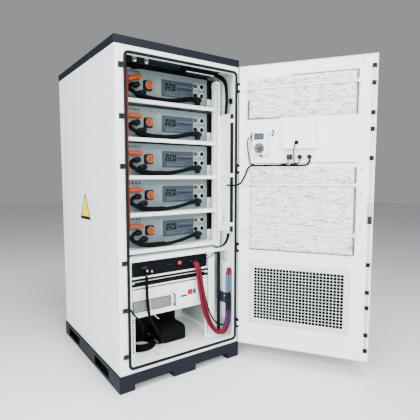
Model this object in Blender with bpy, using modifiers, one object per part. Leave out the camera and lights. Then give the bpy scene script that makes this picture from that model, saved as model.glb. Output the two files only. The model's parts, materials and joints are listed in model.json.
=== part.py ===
"""Outdoor battery cabinet with five rack modules and its door standing open.

Metres, +Z up. The origin is on the floor under the middle of the cabinet, the door opening faces -Y.
The door and what it carries are built shut, under an empty on the hinge axis, which is then turned open.
"""

import math

import bmesh
import bpy
from mathutils import Matrix, Vector

# Cabinet
WIDTH = 0.750
DEPTH = 0.950
BASE_HEIGHT = 0.090
BODY_HEIGHT = 1.625
ROOF_HEIGHT = 0.040
SHEET = 0.002
PANEL = 0.003
FRAME_DEPTH = 0.016
FRAME_LEFT = 0.058
FRAME_RIGHT = 0.027
FRAME_SILL = 0.035
FRAME_HEAD = 0.040
FRAME_CORNER = 0.014
GASKET_WIDTH = 0.015
GASKET_HEIGHT = 0.0115
ROOF_OVERHANG = 0.003
BASE_OVERHANG = 0.007
BASE_SHEET = 0.004
SKID_SIDE = 0.076
SKID_MIDDLE = 0.142
SKID_HEIGHT = 0.035
FORK_Z = (0.020, 0.070)
FORK_WIDTH = 0.220
FORK_FRONT = 0.145
FORK_BACK = 0.645

# Rack: nineteen-inch equipment
RACK_OFFSET = -0.013
PANEL_19 = 0.4826
CHASSIS_19 = 0.442
MODULE_COUNT = 5
MODULE_PITCH = 0.200
MODULE_WIDTH = 0.620
MODULE_HEIGHT = 0.176
MODULE_WALL = 0.006
MODULE_FACE = 0.208
MODULE_DEPTH = 0.748 - MODULE_FACE
RACK_FACE = 0.110
EAR = 0.003
SHELF_FACE = 0.125
SHELF_HEIGHT = 0.020
SHELF_DEPTH = 0.640
SHELF_WIDTH = 0.640
FIRST_SHELF_TOP = 0.697
POST_WIDTH = 0.030
POST_SHEET = 0.003
POST_DEPTH = 0.033
UPPER_RACK_HEIGHT = 0.990
DIVIDER_FACE = 0.100
DIVIDER_HEIGHT = 0.024
DIVIDER_DROP = 0.035
LOWER_POST_WIDTH = 0.072
LOWER_RACK_DEPTH = 0.390
CONTROL_HEIGHT = 0.0815
CONTROL_DEPTH = 0.300
POWER_HEIGHT = 0.133
POWER_DEPTH = 0.330
POWER_BOTTOM = 0.350
STRIP_HEIGHTS = ((0.492, 0.512), (0.527, 0.553))

# Door
DOOR_WIDTH = WIDTH - 0.018
DOOR_DEPTH = 0.035
DOOR_LIP = 0.003
DOOR_EDGE = 0.002
DOOR_GAP_BOTTOM = 0.003
DOOR_GAP_TOP = 0.001
DOOR_OPEN = 123.4
HINGE_INSET = 0.0031
HINGE_PROUD = 0.0123
HINGE_COUNT = 4
HINGE_END = 0.116
BARREL_RADIUS = 0.006
PIN_RADIUS = 0.003
KNUCKLE_HALF = 0.0115
BARREL_LENGTH = 0.014
STRIKER_COUNT = 7
STRIKER_END = 0.0925
STRIKER_INSET = 0.030
STRIKER_SIZE = 0.024
STRIKER_HEIGHT = 0.0065
ROD_TRAVEL = 0.018
ROD_WIDTH = 0.010
ROD_PIN = 0.003
LOCK_HALF_WIDTH = 0.011
LOCK_Z = (0.843, 0.955)
HANDLE_Z = 0.925
INSULATION = 0.020
VENT_COLUMNS = 10
VENT_ROWS = 6
VENT_HOLE = 0.030
SWITCH_Z = 1.199
SWITCH_PLACES = (0.297, 0.352, 0.403)

# Clearances
FIT = 0.0004
RUN = 0.0002

LEFT = -WIDTH / 2
RIGHT = WIDTH / 2
FRONT = -DEPTH / 2
BACK = DEPTH / 2
BODY_TOP = BASE_HEIGHT + BODY_HEIGHT
INNER_LEFT = LEFT + PANEL + FIT
INNER_RIGHT = RIGHT - PANEL - FIT
FLOOR_TOP = BASE_HEIGHT + 0.025
OPEN_LEFT = LEFT + FRAME_LEFT
OPEN_RIGHT = RIGHT - FRAME_RIGHT
OPEN_BOTTOM = BASE_HEIGHT + FRAME_SILL
OPEN_TOP = BODY_TOP - FRAME_HEAD
HINGE_X = RIGHT - HINGE_INSET
HINGE_Y = FRONT - HINGE_PROUD
DOOR_BOTTOM = BASE_HEIGHT + DOOR_GAP_BOTTOM
DOOR_TOP = BODY_TOP - DOOR_GAP_TOP
STRIKER_REACH = HINGE_X - LEFT - STRIKER_INSET


def clear_scene():
    for obj in list(bpy.data.objects):
        bpy.data.objects.remove(obj)


def new_collection(name):
    collection = bpy.data.collections.new(name)
    bpy.context.scene.collection.children.link(collection)
    return collection


def finish(name, colour, roughness, metallic=0.0):
    """A Principled material with one colour."""
    mat = bpy.data.materials.new(name)
    mat.use_nodes = True
    shader = mat.node_tree.nodes["Principled BSDF"]
    shader.inputs["Base Color"].default_value = (*colour, 1.0)
    shader.inputs["Roughness"].default_value = roughness
    shader.inputs["Metallic"].default_value = metallic
    return mat


clear_scene()
PARTS = new_collection("battery_cabinet")
CUTTERS = new_collection("cutters")

WHITE = finish("white_powder_coat", (0.86, 0.88, 0.88), 0.45)
SLATE = finish("slate_powder_coat", (0.035, 0.05, 0.065), 0.5)
RUBBER = finish("black_rubber", (0.015, 0.015, 0.018), 0.6)
BLACK = finish("black_paint", (0.02, 0.02, 0.025), 0.45)
GREY = finish("grey_green_panel", (0.62, 0.68, 0.68), 0.4)
ORANGE = finish("orange_sleeve", (0.85, 0.22, 0.05), 0.45)
RED = finish("red_sleeve", (0.6, 0.02, 0.03), 0.45)
FOIL = finish("white_film", (0.85, 0.86, 0.87), 0.3)
STEEL = finish("zinc_plated_steel", (0.65, 0.66, 0.66), 0.35, 1.0)
PLASTIC = finish("light_grey_plastic", (0.8, 0.82, 0.83), 0.4)


def link(obj, mat, parent=None):
    PARTS.objects.link(obj)
    obj.data.materials.append(mat)
    obj.parent = parent
    return obj


def hide_cutter(obj):
    for owner in list(obj.users_collection):
        owner.objects.unlink(obj)
    CUTTERS.objects.link(obj)
    obj.hide_render = True
    obj.display_type = "WIRE"
    return obj


def block(name, x, y, z, mat, parent=None, bevel=0.0):
    """A box between two limits on each axis, its origin at its middle."""
    bm = bmesh.new()
    bmesh.ops.create_cube(bm, size=1.0)
    size = Vector((x[1] - x[0], y[1] - y[0], z[1] - z[0]))
    bmesh.ops.scale(bm, vec=size, verts=bm.verts)
    mesh = bpy.data.meshes.new(name)
    bm.to_mesh(mesh)
    bm.free()
    obj = link(bpy.data.objects.new(name, mesh), mat, parent)
    obj.location = ((x[0] + x[1]) / 2, (y[0] + y[1]) / 2, (z[0] + z[1]) / 2)
    if bevel:
        edge = obj.modifiers.new("edge", "BEVEL")
        edge.width = bevel
        edge.segments = 1
    return obj


def rod(name, start, end, radius, mat, parent=None, segments=20):
    """A round bar between two points."""
    start = Vector(start)
    end = Vector(end)
    bm = bmesh.new()
    bmesh.ops.create_cone(
        bm, cap_ends=True, segments=segments, radius1=radius, radius2=radius, depth=(end - start).length
    )
    mesh = bpy.data.meshes.new(name)
    bm.to_mesh(mesh)
    bm.free()
    mesh.shade_smooth()
    mesh.set_sharp_from_angle(angle=math.radians(40))
    obj = link(bpy.data.objects.new(name, mesh), mat, parent)
    obj.location = (start + end) / 2
    obj.rotation_euler = Vector((0, 0, 1)).rotation_difference(end - start).to_euler()
    return obj


def bake(obj):
    """Replace the object's mesh with what its modifiers make."""
    graph = bpy.context.evaluated_depsgraph_get()
    mesh = bpy.data.meshes.new_from_object(obj.evaluated_get(graph))
    obj.modifiers.clear()
    obj.data = mesh


def combine(obj, other, operation):
    bpy.context.view_layer.update()
    step = obj.modifiers.new(operation.lower(), "BOOLEAN")
    step.operation = operation
    step.solver = "EXACT"
    step.object = other
    bake(obj)
    bpy.data.objects.remove(other)


def weld(obj, *others):
    """Join solids that run into each other into one body."""
    for other in others:
        combine(obj, other, "UNION")
    return obj


def cut(obj, *cutters):
    for cutter in cutters:
        combine(obj, hide_cutter(cutter), "DIFFERENCE")
    return obj


def cutter_box(x, y, z, parent=None):
    return block("cutter", x, y, z, BLACK, parent)


def cutter_rod(start, end, radius, parent=None):
    return rod("cutter", start, end, radius, BLACK, parent)


def rounded_outline(x, z, radius, steps=5):
    """Corner points of a rectangle with round corners, counter-clockwise."""
    centres = ((x[1] - radius, z[1] - radius, 0), (x[0] + radius, z[1] - radius, 90),
               (x[0] + radius, z[0] + radius, 180), (x[1] - radius, z[0] + radius, 270))
    points = []
    for cx, cz, first in centres:
        for step in range(steps + 1):
            angle = math.radians(first + 90 * step / steps)
            points.append((cx + radius * math.cos(angle), cz + radius * math.sin(angle)))
    return points


def upright_ring(name, outer, inner, y, mat):
    """A flat ring standing in the XZ plane, from a filled outline with a hole."""
    curve = bpy.data.curves.new(name, "CURVE")
    curve.dimensions = "2D"
    curve.fill_mode = "BOTH"
    curve.extrude = (y[1] - y[0]) / 2
    for outline in (outer, inner):
        spline = curve.splines.new("POLY")
        spline.points.add(len(outline) - 1)
        for point, (px, pz) in zip(spline.points, outline):
            point.co = (px, pz, 0, 1)
        spline.use_cyclic_u = True
    flat = bpy.data.objects.new(name + "_outline", curve)
    PARTS.objects.link(flat)
    graph = bpy.context.evaluated_depsgraph_get()
    mesh = bpy.data.meshes.new_from_object(flat.evaluated_get(graph))
    bpy.data.objects.remove(flat)
    bm = bmesh.new()
    bm.from_mesh(mesh)
    bmesh.ops.remove_doubles(bm, verts=bm.verts, dist=0.00001)
    bm.to_mesh(mesh)
    bm.free()
    mesh.transform(Matrix.Rotation(math.radians(90), 4, "X"))
    obj = link(bpy.data.objects.new(name, mesh), mat)
    obj.location.y = (y[0] + y[1]) / 2
    return obj


def smooth_route(points, spacing):
    """Points a spacing apart along a Catmull-Rom curve through the chosen points."""
    knots = [Vector(p) for p in points]
    knots = [2 * knots[0] - knots[1]] + knots + [2 * knots[-1] - knots[-2]]
    route = [knots[1]]
    for i in range(1, len(knots) - 2):
        before, a, b, after = knots[i - 1:i + 3]
        count = max(1, round((b - a).length / spacing))
        for step in range(1, count + 1):
            t = step / count
            route.append(0.5 * ((2 * a) + (b - before) * t
                                + (2 * before - 5 * a + 4 * b - after) * t ** 2
                                + (3 * a - before - 3 * b + after) * t ** 3))
    return route


def cable(name, points, radius, mat, parent=None, spacing=None):
    """A round cable along a smooth route, as a curve with filled ends."""
    curve = bpy.data.curves.new(name, "CURVE")
    curve.dimensions = "3D"
    curve.bevel_depth = radius
    curve.bevel_resolution = 2
    curve.use_fill_caps = True
    route = smooth_route(points, spacing or 3 * radius)
    spline = curve.splines.new("POLY")
    spline.points.add(len(route) - 1)
    for point, place in zip(spline.points, route):
        point.co = (*place, 1)
    return link(bpy.data.objects.new(name, curve), mat, parent)


def channel(name, x, y, z, sheet, mat):
    """A shelf: a folded sheet with its lips turned down at the front and the back."""
    shelf = block(name, x, y, z, mat)
    hollow = cutter_box((x[0] - 0.01, x[1] + 0.01), (y[0] + sheet, y[1] - sheet), (z[0] - 0.01, z[1] - sheet))
    return cut(shelf, hollow)


def base_plinth():
    """Folded steel base: three skids front to back, open between them, with fork pockets across."""
    outer_x = WIDTH / 2 + BASE_OVERHANG
    outer_y = DEPTH / 2 + BASE_OVERHANG
    side_inner = WIDTH / 2 - SKID_SIDE
    middle = SKID_MIDDLE / 2
    base = block("base_plinth", (-outer_x, outer_x), (-outer_y, outer_y), (0, BASE_HEIGHT), SLATE, bevel=0.003)
    bake(base)
    for low, high in ((-side_inner, -middle), (middle, side_inner)):
        cut(base, cutter_box((low, high), (-outer_y - 0.01, outer_y + 0.01), (-0.01, SKID_HEIGHT)))
    deck_hollow = cutter_box(
        (-outer_x + BASE_SHEET, outer_x - BASE_SHEET), (-outer_y + BASE_SHEET, outer_y - BASE_SHEET),
        (SKID_HEIGHT + BASE_SHEET, BASE_HEIGHT - BASE_SHEET))
    cut(base, deck_hollow)
    for low, high in ((-outer_x, -side_inner), (-middle, middle), (side_inner, outer_x)):
        cut(base, cutter_box((low + BASE_SHEET, high - BASE_SHEET),
                             (-outer_y + BASE_SHEET, outer_y - BASE_SHEET),
                             (BASE_SHEET, SKID_HEIGHT + 2 * BASE_SHEET)))
    for start in (FORK_FRONT, FORK_BACK):
        cut(base, cutter_box((-outer_x - 0.01, outer_x + 0.01),
                             (FRONT + start, FRONT + start + FORK_WIDTH), FORK_Z))


def roof_cap():
    x = (LEFT - ROOF_OVERHANG, RIGHT + ROOF_OVERHANG)
    y = (FRONT - ROOF_OVERHANG, BACK + ROOF_OVERHANG)
    cap = block("roof_cap", x, y, (BODY_TOP + FIT, BODY_TOP + ROOF_HEIGHT), SLATE, bevel=0.002)
    bake(cap)
    cut(cap, cutter_box((x[0] + SHEET, x[1] - SHEET), (y[0] + SHEET, y[1] - SHEET),
                        (BODY_TOP - 0.01, BODY_TOP + ROOF_HEIGHT - SHEET)))


def wall_panels():
    """Side, rear, floor and ceiling sheets behind the front frame."""
    z = (BASE_HEIGHT + FIT, BODY_TOP - FIT)
    y = (FRONT + FRAME_DEPTH + FIT, BACK)
    block("side_panel_left", (LEFT, LEFT + PANEL), y, z, WHITE)
    block("side_panel_right", (RIGHT - PANEL, RIGHT), y, z, WHITE)
    inner_x = (INNER_LEFT, INNER_RIGHT)
    block("rear_panel", inner_x, (BACK - PANEL, BACK), z, WHITE)
    inner_y = (y[0], BACK - PANEL - FIT)
    channel("floor_panel", inner_x, inner_y, (z[0], FLOOR_TOP), PANEL, WHITE)
    block("ceiling_panel", inner_x, inner_y, (BODY_TOP - FIT - PANEL, BODY_TOP - FIT), WHITE)


def striker_heights():
    """Evenly spaced lock points; the middle one is the lock itself."""
    low = DOOR_BOTTOM + STRIKER_END
    step = (DOOR_TOP - STRIKER_END - low) / (STRIKER_COUNT - 1)
    middle = STRIKER_COUNT // 2
    return [low + step * i for i in range(STRIKER_COUNT) if i != middle]


def front_frame():
    """The door frame, with a slotted striker at each lock point on its left upright."""
    z = (BASE_HEIGHT + FIT, BODY_TOP - FIT)
    outer = ((LEFT, z[0]), (RIGHT, z[0]), (RIGHT, z[1]), (LEFT, z[1]))
    inner = rounded_outline((OPEN_LEFT, OPEN_RIGHT), (OPEN_BOTTOM, OPEN_TOP), FRAME_CORNER)
    frame = upright_ring("front_frame", outer, inner, (FRONT, FRONT + FRAME_DEPTH), WHITE)
    x = LEFT + STRIKER_INSET
    half = STRIKER_SIZE / 2
    slot = ROD_PIN + 0.001
    half_height = 0.011
    middle = (DOOR_BOTTOM + DOOR_TOP) / 2
    for height in striker_heights():
        striker = block("striker", (x - half, x + half - 0.0003), (FRONT - STRIKER_HEIGHT, FRONT + 0.001),
                        (height - half_height, height + half_height), BLACK)
        entry = (height - 0.02, height + slot + 0.0005)
        if height < middle:
            entry = (height - slot - 0.0005, height + 0.02)
        cut(striker, cutter_box((x - slot, x + slot), (FRONT - 0.01, FRONT - 0.0005), entry))
        weld(frame, striker)


def door_gasket():
    outer = rounded_outline((OPEN_LEFT - GASKET_WIDTH, OPEN_RIGHT + GASKET_WIDTH),
                            (OPEN_BOTTOM - GASKET_WIDTH, OPEN_TOP + GASKET_WIDTH), FRAME_CORNER + GASKET_WIDTH)
    inner = rounded_outline((OPEN_LEFT, OPEN_RIGHT), (OPEN_BOTTOM, OPEN_TOP), FRAME_CORNER)
    upright_ring("door_gasket", outer, inner, (FRONT - FIT - GASKET_HEIGHT, FRONT - FIT), RUBBER)


def prism(name, outline, z, mat):
    """An upright solid with the given outline in plan, counter-clockwise."""
    bm = bmesh.new()
    lower = [bm.verts.new((x, y, z[0])) for x, y in outline]
    upper = [bm.verts.new((x, y, z[1])) for x, y in outline]
    bm.faces.new(lower[::-1])
    bm.faces.new(upper)
    for i in range(len(outline)):
        bm.faces.new((lower[i - 1], lower[i], upper[i], upper[i - 1]))
    mesh = bpy.data.meshes.new(name)
    bm.to_mesh(mesh)
    bm.free()
    return link(bpy.data.objects.new(name, mesh), mat)


def angle_post(x, y, z, outward):
    """A folded post: a flat front face, and a leg running back from its outer edge."""
    outer = x[1] if outward > 0 else x[0]
    inner = x[0] if outward > 0 else x[1]
    fold = outer - outward * POST_SHEET
    outline = [(inner, y), (outer, y), (outer, y + POST_DEPTH), (fold, y + POST_DEPTH), (fold, y + POST_SHEET),
               (inner, y + POST_SHEET)]
    return prism("post", outline[::outward], z, WHITE)


def upper_rack():
    """Four posts with side and rear rails, standing on the divider."""
    bottom = FIRST_SHELF_TOP - DIVIDER_DROP + FIT
    top = bottom + UPPER_RACK_HEIGHT
    half = SHELF_WIDTH / 2 + 0.0005
    front = FRONT + SHELF_FACE + SHEET
    rear = front + SHELF_DEPTH
    frame = None
    for side in (-1, 1):
        inner = RACK_OFFSET + side * half
        x = tuple(sorted((inner, inner + side * POST_WIDTH)))
        outer = inner + side * POST_WIDTH
        rail_x = tuple(sorted((outer - side * 0.0005, outer - side * POST_SHEET * 1.5)))
        for y in (front, rear):
            post = angle_post(x, y, (bottom, top), side)
            frame = weld(frame, post) if frame else post
        for z in (bottom + 0.001, (bottom + top) / 2, top - POST_WIDTH - 0.001):
            rail = block("rail", rail_x, (front + POST_DEPTH - 0.002, rear + 0.001), (z, z + POST_WIDTH), WHITE)
            weld(frame, rail)
        if side < 0:
            across = (inner - POST_WIDTH, RACK_OFFSET + half + POST_WIDTH)
            for z in (bottom + 0.002, top - POST_WIDTH - 0.002):
                weld(frame, block("cross", across, (rear + POST_SHEET - 0.001, rear + 2 * POST_SHEET),
                                  (z, z + POST_WIDTH), WHITE))
    frame.name = "rack_frame_upper"


def lower_rack():
    """The lower bay's wide posts, its blanking strips and the shelf under the power unit."""
    bottom = FLOOR_TOP + FIT
    top = FIRST_SHELF_TOP - DIVIDER_DROP - DIVIDER_HEIGHT - FIT
    opening = CHASSIS_19 / 2 + 0.007
    face = FRONT + RACK_FACE
    front = face + EAR + 0.0005
    rear = front + LOWER_RACK_DEPTH
    frame = None
    for side in (-1, 1):
        inner = RACK_OFFSET + side * opening
        outer = inner + side * LOWER_POST_WIDTH
        x = tuple(sorted((inner, outer)))
        rail_x = tuple(sorted((outer - side * 0.0005, outer - side * POST_SHEET * 1.5)))
        for y in (front, rear):
            post = angle_post(x, y, (bottom, top), side)
            frame = weld(frame, post) if frame else post
        for z in (bottom + 0.001, top - POST_WIDTH - 0.001):
            weld(frame, block("rail", rail_x, (front + POST_DEPTH - 0.002, rear + 0.001), (z, z + POST_WIDTH), WHITE))
        if side < 0:
            strip_x = (RACK_OFFSET - PANEL_19 / 2, RACK_OFFSET + PANEL_19 / 2)
            shelf_z = (POWER_BOTTOM - FIT - SHELF_HEIGHT, POWER_BOTTOM - FIT)
            for z in STRIP_HEIGHTS + (shelf_z,):
                weld(frame, block("strip", strip_x, (face, front + 0.001), z, WHITE))
            deck = block("deck", (RACK_OFFSET - CHASSIS_19 / 2, RACK_OFFSET + CHASSIS_19 / 2),
                         (front - 0.001, face + POWER_DEPTH), (shelf_z[1] - SHEET, shelf_z[1]), WHITE)
            weld(frame, deck)
    frame.name = "rack_frame_lower"


def shelves():
    """One tray under each module, and the divider above the lower bay."""
    x = (RACK_OFFSET - SHELF_WIDTH / 2, RACK_OFFSET + SHELF_WIDTH / 2)
    y = (FRONT + SHELF_FACE, FRONT + SHELF_FACE + SHELF_DEPTH + SHEET)
    for i in range(MODULE_COUNT):
        top = FIRST_SHELF_TOP + MODULE_PITCH * (MODULE_COUNT - 1 - i)
        channel(f"shelf_{i + 1}", x, y, (top - SHELF_HEIGHT, top), SHEET, WHITE)
    top = FIRST_SHELF_TOP - DIVIDER_DROP
    channel("divider_shelf", (INNER_LEFT, INNER_RIGHT), (FRONT + DIVIDER_FACE, BACK - PANEL - 0.02),
            (top - DIVIDER_HEIGHT, top), SHEET, WHITE)


def rack_case(name, widths, front, bottom, height, depth, wall, mat):
    """A rack case: a face plate as wide as the first width, on a hollow chassis as wide as the second, open at the
    back."""
    face = FRONT + front
    plate, half = widths[0] / 2, widths[1] / 2
    case = block(name, (RACK_OFFSET - plate, RACK_OFFSET + plate), (face, face + EAR), (bottom, bottom + height), mat)
    chassis = block("chassis", (RACK_OFFSET - half, RACK_OFFSET + half), (face + EAR - 0.001, face + depth),
                    (bottom + 0.0005, bottom + height - 0.001), mat)
    weld(case, chassis)
    cut(case, cutter_box((RACK_OFFSET - half + wall, RACK_OFFSET + half - wall),
                         (face + EAR + 0.001, face + depth + 0.01),
                         (bottom + 0.0005 + wall, bottom + height - 0.001 - wall)))
    return case


def battery_modules():
    """Each module with the boss of its service plug on the face."""
    boss_x = RACK_OFFSET - 0.0885
    boss_up = 0.091
    widths = (MODULE_WIDTH, MODULE_WIDTH - 0.004)
    for i in range(MODULE_COUNT):
        bottom = FIRST_SHELF_TOP + MODULE_PITCH * (MODULE_COUNT - 1 - i) + FIT
        case = rack_case(f"battery_module_{i + 1}", widths, MODULE_FACE, bottom, MODULE_HEIGHT, MODULE_DEPTH,
                         MODULE_WALL, GREY)
        y = FRONT + MODULE_FACE
        weld(case, rod("boss", (boss_x, y + 0.002, bottom + boss_up), (boss_x, y - 0.024, bottom + boss_up),
                       0.022, ORANGE))


def module_cables():
    """The power lead of each module, from its left terminal down along the shelf to its right one."""
    face = MODULE_FACE - FIT
    route = ((-0.1640, face, 0.0850), (-0.1640, face - 0.020, 0.0850), (-0.1880, face - 0.040, 0.0780),
             (-0.2120, face - 0.052, 0.0600), (-0.2100, face - 0.057, 0.0430), (-0.1780, face - 0.059, 0.0310),
             (-0.1110, face - 0.060, 0.0190), (-0.0490, face - 0.061, 0.0150), (0.0140, face - 0.061, 0.0160),
             (0.0820, face - 0.058, 0.0260), (0.1500, face - 0.052, 0.0400), (0.1960, face - 0.040, 0.0490),
             (0.2160, face - 0.020, 0.0500), (0.2160, face, 0.0500))
    for i in range(MODULE_COUNT):
        bottom = FIRST_SHELF_TOP + MODULE_PITCH * (MODULE_COUNT - 1 - i)
        points = [(RACK_OFFSET + x, FRONT + y, bottom + z) for x, y, z in route]
        cable(f"module_cable_{i + 1}", points, 0.009, BLACK, spacing=0.026)


def link_harness():
    """The orange lead down the left side in front of the shelves, with a branch back to each module's plug."""
    x = LEFT + 0.094
    y = FRONT + 0.078
    plug_y = FRONT + MODULE_FACE - 0.023
    bottoms = [FIRST_SHELF_TOP + MODULE_PITCH * i for i in range(MODULE_COUNT)]
    up = 0.122
    harness = rod("link_harness", (x, y, bottoms[0] + up - 0.009), (x, y, bottoms[-1] + up + 0.009), 0.006, ORANGE,
                  segments=12)
    for bottom in bottoms:
        weld(harness, rod("branch", (x + 0.0005, y - 0.001, bottom + up), (x + 0.0005, plug_y + 0.006, bottom + up),
                          0.0052, ORANGE, segments=10))
        weld(harness, rod("plug", (x - 0.012, plug_y, bottom + up + 0.0005), (x + 0.128, plug_y, bottom + up + 0.0005),
                          0.010, ORANGE, segments=14))


def control_unit():
    """The black unit over the lower bay, with a pocket for its power rocker."""
    top = FIRST_SHELF_TOP - DIVIDER_DROP - DIVIDER_HEIGHT - FIT
    bottom = top - CONTROL_HEIGHT
    case = rack_case("control_unit", (PANEL_19, CHASSIS_19), RACK_FACE, bottom, CONTROL_HEIGHT, CONTROL_DEPTH, PANEL,
                     BLACK)
    x = LEFT + 0.412
    z = bottom + 0.044
    face = FRONT + RACK_FACE
    bezel = block("bezel", (x - 0.015, x + 0.015), (face - 0.0015, face + 0.016), (z - 0.015, z + 0.015), BLACK)
    weld(case, bezel)
    half = 0.011
    cut(case, cutter_box((x - half, x + half), (face - 0.01, face + 0.013), (z - half, z + half)))
    rocker = rod("power_rocker", (x - half + 0.0005, face + 0.002, z), (x + half - 0.0005, face + 0.002, z),
                 0.0095, RED, segments=24)
    flat = cutter_box((x - 0.02, x + 0.02), (face - 0.02, face - 0.0045), (z - 0.02, z + 0.02))
    cut(rocker, flat)


def power_unit():
    """The white unit, with a bow handle on its face."""
    case = rack_case("power_unit", (PANEL_19, CHASSIS_19), RACK_FACE, POWER_BOTTOM, POWER_HEIGHT, POWER_DEPTH, PANEL,
                     WHITE)
    x = LEFT + 0.367
    y = FRONT + RACK_FACE
    low = POWER_BOTTOM + 0.018
    high = POWER_BOTTOM + 0.078
    reach = y - 0.026
    for z in (low, high):
        weld(case, rod("leg", (x, y + 0.002, z), (x, reach, z), 0.004, BLACK, segments=12))
    weld(case, rod("grip", (x, reach, low - 0.004), (x, reach, high + 0.004), 0.0045, BLACK, segments=12))


def wall_fittings():
    """On the right wall: the air duct, the terminal cover; under the ceiling: the junction box."""
    x = (RIGHT - 0.036, INNER_RIGHT)
    duct = block("air_duct", x, (FRONT + 0.030, FRONT + 0.150), (0.760, 1.456), WHITE)
    cut(duct, cutter_box((x[0] + SHEET, x[1] + 0.01), (FRONT + 0.030 + SHEET, FRONT + 0.150 - SHEET), (0.75, 1.47)))
    cover = block("terminal_cover", x, (FRONT + 0.058, FRONT + 0.160), (0.220, 0.563), WHITE)
    cut(cover, cutter_box((x[0] + SHEET, x[1] + 0.01), (FRONT + 0.058 + SHEET, FRONT + 0.160 - SHEET),
                          (0.220 + SHEET, 0.563 - SHEET)))
    ceiling = BODY_TOP - 2 * FIT - PANEL
    box = block("junction_box", (LEFT + 0.436, LEFT + 0.618), (FRONT + 0.060, FRONT + 0.112),
                (ceiling - 0.051, ceiling), BLACK)
    cut(box, cutter_box((LEFT + 0.436 + SHEET, LEFT + 0.618 - SHEET), (FRONT + 0.060 + SHEET, FRONT + 0.112 - SHEET),
                        (ceiling - 0.051 + SHEET, ceiling + 0.01)))


def loose_wiring():
    """The leads of the lower bay and the spare lead coiled on the floor."""
    x = LEFT
    y = FRONT
    main = ((x + 0.515, y + RACK_FACE - FIT, 0.585), (x + 0.515, y + 0.094, 0.585), (x + 0.519, y + 0.077, 0.550),
            (x + 0.527, y + 0.073, 0.480), (x + 0.540, y + 0.070, 0.400), (x + 0.560, y + 0.066, 0.310),
            (x + 0.592, y + 0.061, 0.225), (x + 0.632, y + 0.054, 0.166), (x + 0.668, y + 0.047, 0.150),
            (x + 0.696, y + 0.041, 0.182), (x + 0.708, y + 0.037, 0.240), (x + 0.7095, y + 0.036, 0.330),
            (x + 0.7095, y + 0.036, 0.430), (x + 0.7110, y + 0.037, 0.490), (x + 0.7180, y + 0.040, 0.520),
            (x + 0.7280, y + 0.048, 0.531), (x + 0.7280, y + 0.058 - FIT, 0.531))
    cable("main_cable", main, 0.008, RED)
    comms = ((x + 0.190, y + RACK_FACE - FIT, 0.590), (x + 0.190, y + 0.098, 0.590), (x + 0.188, y + 0.083, 0.560),
             (x + 0.186, y + 0.078, 0.480), (x + 0.190, y + 0.077, 0.400), (x + 0.200, y + 0.078, 0.340),
             (x + 0.222, y + 0.080, 0.290), (x + 0.260, y + 0.086, 0.235), (x + 0.300, y + 0.104, 0.180),
             (x + 0.332, y + 0.136, 0.142), (x + 0.346, y + 0.152, 0.130), (x + 0.346, y + 0.152, FLOOR_TOP + FIT))
    cable("comms_cable", comms, 0.004, BLACK, spacing=0.012)
    ring_radius = 0.072
    coil_radius = 0.022
    profile = bpy.data.meshes.new("coil")
    bm = bmesh.new()
    steps = 10
    ring = [bm.verts.new((ring_radius + coil_radius * math.cos(math.tau * i / steps), 0,
                          coil_radius * math.sin(math.tau * i / steps))) for i in range(steps)]
    for i in range(steps):
        bm.edges.new((ring[i], ring[i - 1]))
    bm.to_mesh(profile)
    bm.free()
    coil = link(bpy.data.objects.new("spare_coil", profile), BLACK)
    coil.location = (x + 0.220, y + 0.225, FLOOR_TOP + FIT + coil_radius)
    turn = coil.modifiers.new("turn", "SCREW")
    turn.steps = 28
    turn.render_steps = 28
    turn.use_merge_vertices = True
    turn.merge_threshold = 0.0001


def hinge_heights():
    low = DOOR_BOTTOM + HINGE_END
    step = (DOOR_TOP - HINGE_END - low) / (HINGE_COUNT - 1)
    return [low + step * i for i in range(HINGE_COUNT)]


def cabinet_hinges():
    """The fixed half of each hinge: a leaf on the frame, two barrels and the pin between them."""
    start = KNUCKLE_HALF + RUN + 0.0003
    for number, height in enumerate(hinge_heights(), 1):
        leaf_x = (OPEN_RIGHT + GASKET_WIDTH + 0.0015, RIGHT - 0.0005)
        hinge = block(f"hinge_{number}", leaf_x, (FRONT - FIT - 0.003, FRONT - FIT),
                      (height - 0.030, height + 0.030), BLACK)
        for side in (-1, 1):
            z = sorted((height + side * start, height + side * (start + BARREL_LENGTH)))
            arm = block("arm", (HINGE_X - 0.0040, RIGHT - 0.0008), (HINGE_Y, FRONT - FIT - 0.001), z, BLACK)
            barrel = rod("barrel", (HINGE_X, HINGE_Y, z[0]), (HINGE_X, HINGE_Y, z[1]), BARREL_RADIUS, BLACK,
                         segments=16)
            weld(hinge, arm, barrel)
        pin = rod("pin", (HINGE_X, HINGE_Y, height - start - 0.004), (HINGE_X, HINGE_Y, height + start + 0.004),
                  PIN_RADIUS, BLACK, segments=16)
        weld(hinge, pin)


door_axis = bpy.data.objects.new("door_axis", None)
PARTS.objects.link(door_axis)
door_axis.location = (HINGE_X, HINGE_Y, 0)


def door_block(name, reach, out, z, mat, bevel=0.0):
    """A box on the shut door: reach from the hinge axis, out from the seal face into the cabinet."""
    return block(name, (-reach[1], -reach[0]), out, z, mat, door_axis, bevel)


def door_rod(name, reach, out, z, radius, mat, segments=20):
    """A round bar square to the door's face."""
    return rod(name, (-reach, out[0], z), (-reach, out[1], z), radius, mat, door_axis, segments)


def upright_cutter(height, half, radius):
    return cutter_rod((0, 0, height - half), (0, 0, height + half), radius, door_axis)


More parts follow.
